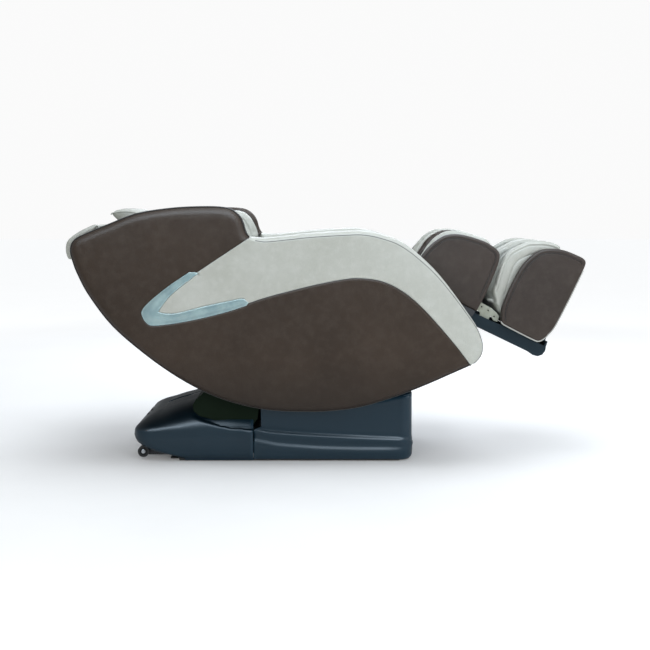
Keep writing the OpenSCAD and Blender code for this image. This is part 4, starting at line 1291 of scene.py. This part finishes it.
def front_deck(top):
    """Top of the front housing with its openings, a rear end wall and the front's cap."""
    flank = top[:FLANK_POINTS]
    vertices = []
    for x, edge, z in flank:
        for y in (edge, -252.0, -60.0, 60.0, 252.0, -edge):
            vertices.append((x, y, z + (0.0 if abs(y) > 200 else 1.5)))
    faces = []
    for cell, face in enumerate(quads(FLANK_POINTS, 6)):
        i, band = divmod(cell, 5)
        x = 0.5*(flank[i][0] + flank[i+1][0])
        side_opening = band in (0, 4) and 118 < x < 272
        middle_opening = band == 2 and 118 < x < 312
        if not (side_opening or middle_opening):
            faces.append(face)
    faces += quads(9, 13, start=len(vertices))
    for k in range(9):
        z = 122 + (flank[0][2] - 122)*k/8
        vertices += [(-54.8, y, z) for y in np.linspace(-268, 268, 13)]
    # fan over the rounded front: both corners, the face between, one flank point each side
    start = len(vertices)
    rounded = top[FLANK_POINTS - 1:FLANK_POINTS + 50]
    vertices += [tuple(point) for point in rounded]
    vertices.append((rounded[0][0], 0.0, rounded[0][2] + 1.5))
    centre = len(vertices) - 1
    faces += [(start+i, start+i+1, centre) for i in range(len(rounded) - 1)]
    return mesh("base_front_deck", np.array(vertices, float)*MM, faces)


def base_covers():
    rear = rear_shell()
    front, top = front_shell()
    deck = front_deck(top)
    points = vertex_data(rear.data)/MM
    soft = np.nonzero((points[:, 2] > 128) & (points[:, 0] < -345))[0]
    rear.vertex_groups.new(name="soft").add([int(i) for i in soft], 1.0, "REPLACE")
    soften = rear.modifiers.new("soften", "SMOOTH")
    soften.factor = 0.5
    soften.iterations = 14
    soften.vertex_group = "soft"
    for obj, replaces, thickness in ((rear, "base_cover_rear", 4.0),
                                     (front, "base_cover_front", 4.0),
                                     (deck, "base_cover_front", 3.0)):
        wall = obj.modifiers.new("wall", "SOLIDIFY")
        wall.thickness = thickness*MM
        wall.offset = -1
        dress(obj, NAVY, "base", replaces)


base_covers()

# rubber skids under the skirt
for sign, side in ((-1, "right"), (1, "left")):
    skid = tube("base_skid_" + side, [(x, sign*276.0, 7.5) for x in np.linspace(-362, 452, 60)],
                5.0, space="world", flat=0.8)
    dress(skid, RUBBER, "base")


def wheel_hub(side, sign):
    """Turned cap on the wheel's outer face; the profile is radius and y from that face."""
    profile = [(0.01, -1.6), (4.5, -1.5), (7.2, -0.4), (8.6, 1.2), (8.8, 3.0)]
    low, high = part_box("transport_wheel_right")
    centre_x, centre_z = (low[0]+high[0])/2/MM, (low[2]+high[2])/2/MM
    sides = 28
    vertices = []
    for radius, y in profile:
        for k in range(sides):
            angle = 2*math.pi*k/sides
            vertices.append((centre_x + radius*math.cos(angle), sign*(low[1]/MM) + sign*y,
                             centre_z + radius*math.sin(angle)))
    hub = mesh("wheel_hub_" + side, np.array(vertices)*MM, quads(len(profile), sides, wrap=True))
    dress(fix_normals(hub), STEEL, "wheel_" + side)


wheel_hub("right", 1)
wheel_hub("left", -1)

# ------------------------------------------------------------------ soft edges on the hard parts
# bevel width and segments: CAD nodes
BEVELS = {
    (3.0, 3): "foot_chassis remote_body air_pump",
    (2.0, 3): "transport_wheel_right transport_wheel_left",
    (2.0, 2): "sole_plate control_box power_module carriage_motors",
    (1.5, 2): "base_frame massage_arm_right massage_arm_left",
    (1.2, 2): "base_windows seat_frame legrest_frame carriage_frame recline_actuator_tube "
              "legrest_actuator_tube",
    (1.0, 2): "power_switch track_rails",
    (0.9, 2): "slide_brackets",
    (0.7, 2): "remote_power_button remote_mode_button",
}
for (width, segments), nodes in BEVELS.items():
    for node in nodes.split():
        bevel = frame["nodes"][node].modifiers.new("edge", "BEVEL")
        bevel.width = width*MM
        bevel.segments = segments
        bevel.limit_method = "ANGLE"
        bevel.angle_limit = math.radians(38)
# the foot chassis takes the darkened navy: painted shade
set_material(frame["nodes"]["foot_chassis"], CHASSIS_SHADED)


# ------------------------------------------------------------------ pillow hinge
def hinge_web():
    """Soft strip, 3 mm thick and slightly wavy, between the head end and the pillow; its dark brown also stands in
    for the shadow in the gap there, as painted shade.
    """
    path = curve([[-650,852], [-632,857], [-613,864], [-602,873], [-599,883], [-606,891]])
    path = resample(path, 3, closed=False)
    loop = np.vstack([offset_path(path, 1.5), offset_path(path, -1.5)[::-1]])
    stations = np.linspace(-124, 124, 42)
    vertices = [(x, y, z + DATUM_Z + 0.6*math.sin(y/9.0)) for y in stations for x, z in loop]
    web = fix_normals(mesh("pillow_hinge_web", np.array(vertices)*MM,
                           rod_faces(len(stations), len(loop))))
    # dark brown: partly painted shade for the shadowed gap
    set_material(web, BROWN)
    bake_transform(web)


hinge_web()


# ------------------------------------------------------------------ floor, world, light, camera
def floor_material():
    """Pale floor that glows more with distance, for the camera only."""
    mat = Shader("floor_mat")
    patches = mat.noise(scale=2.0, detail=4.0)
    colour = mat.mix(mat.remap(patches, over=(0.3, 0.7)), (0.80, 0.80, 0.80), (0.84, 0.84, 0.84))
    away = mat.fill(mat.node("ShaderNodeVectorMath", operation="LENGTH"), {0: mat.place})
    camera_ray = mat.node("ShaderNodeLightPath").outputs["Is Camera Ray"]
    glow = mat.remap(away.outputs["Value"], over=(0.7, 5.0), to=(0.10, 0.62))
    mat.surface({"Base Color": colour, "Roughness": 0.6,
                 "Emission Strength": mat.math("MULTIPLY", glow, camera_ray),
                 "Emission Color": (1, 1, 1)})
    return mat.material


def studio_floor(half=30, z=-0.0005):
    material = floor_material()
    data = bpy.data.meshes.new("studio_floor")
    data.from_pydata([(-half, -half, z), (half, -half, z), (half, half, z), (-half, half, z)],
                     [], [(0, 1, 2, 3)])
    data.update()
    floor = bpy.data.objects.new("studio_floor", data)
    bpy.context.scene.collection.objects.link(floor)
    data.materials.append(material)


def studio_world():
    """Soft bluish surroundings that the camera sees as near white."""
    scene = bpy.context.scene
    world = scene.world or bpy.data.worlds.new("studio")
    scene.world = world
    world.use_nodes = True
    nodes, links = world.node_tree.nodes, world.node_tree.links
    ambient = nodes.get("Background") or nodes.new("ShaderNodeBackground")
    ambient.inputs["Color"].default_value = (0.93, 0.97, 1.0, 1)
    ambient.inputs["Strength"].default_value = 0.42
    light_path = nodes.new("ShaderNodeLightPath")
    backdrop = nodes.new("ShaderNodeBackground")
    backdrop.inputs["Color"].default_value = (1, 1, 1, 1)
    backdrop.inputs["Strength"].default_value = 0.96
    mix = nodes.new("ShaderNodeMixShader")
    output = nodes.get("World Output") or nodes.new("ShaderNodeOutputWorld")
    links.new(light_path.outputs["Is Camera Ray"], mix.inputs[0])
    links.new(ambient.outputs[0], mix.inputs[1])
    links.new(backdrop.outputs[0], mix.inputs[2])
    links.new(mix.outputs[0], output.inputs[0])


def area_light(name, *, at, target, size, power, colour, diffuse=True, glossy=True):
    data = bpy.data.lights.new(name, "AREA")
    data.shape = "RECTANGLE"
    data.size, data.size_y = size
    data.energy = power
    data.color = colour
    light = bpy.data.objects.new(name, data)
    bpy.context.scene.collection.objects.link(light)
    light.location = at
    light.rotation_euler = (Vector(target) - Vector(at)).to_track_quat("-Z", "Y").to_euler()
    light.visible_diffuse = diffuse
    light.visible_glossy = glossy


def studio_camera():
    data = bpy.data.cameras.new("camera")
    camera = bpy.data.objects.new("camera", data)
    bpy.context.scene.collection.objects.link(camera)
    camera.location = (0.177, -3.780, 0.912)
    camera.rotation_euler = (math.radians(90 - 6.6), 0, 0)
    data.lens = 53.6
    data.sensor_width = 36.0
    data.clip_end = 200
    bpy.context.scene.camera = camera


studio_floor()
studio_world()
area_light("key_top", at=(0.3, -0.3, 3.3), target=(0.1, 0.0, 0.4), size=(2.6, 1.8), power=66,
           colour=(0.90, 0.95, 1.0))
area_light("front_soft", at=(-1.4, -3.4, 1.5), target=(-0.1, 0.0, 0.45), size=(1.8, 1.8),
           power=20, colour=(1.0, 0.95, 0.88), glossy=False)
area_light("fill_right", at=(2.3, -3.3, 0.8), target=(0.7, 0.0, 0.5), size=(1.8, 1.6),
           power=52, colour=(0.94, 0.97, 1.0), glossy=False)
area_light("rim_back", at=(0.5, 2.6, 2.3), target=(0.1, 0.0, 0.6), size=(2.8, 1.4), power=50,
           colour=(0.86, 0.92, 1.0))
area_light("foot_fill", at=(3.2, -0.9, 1.5), target=(0.6, 0.0, 0.4), size=(1.4, 1.4), power=24,
           colour=(0.90, 0.95, 1.0))
area_light("gloss_front", at=(0.1, -1.9, 2.5), target=(0.1, -0.3, 0.45), size=(3.8, 1.1),
           power=190, colour=(0.74, 0.88, 1.0), diffuse=False)
studio_camera()
bpy.context.scene.view_settings.view_transform = "Standard"
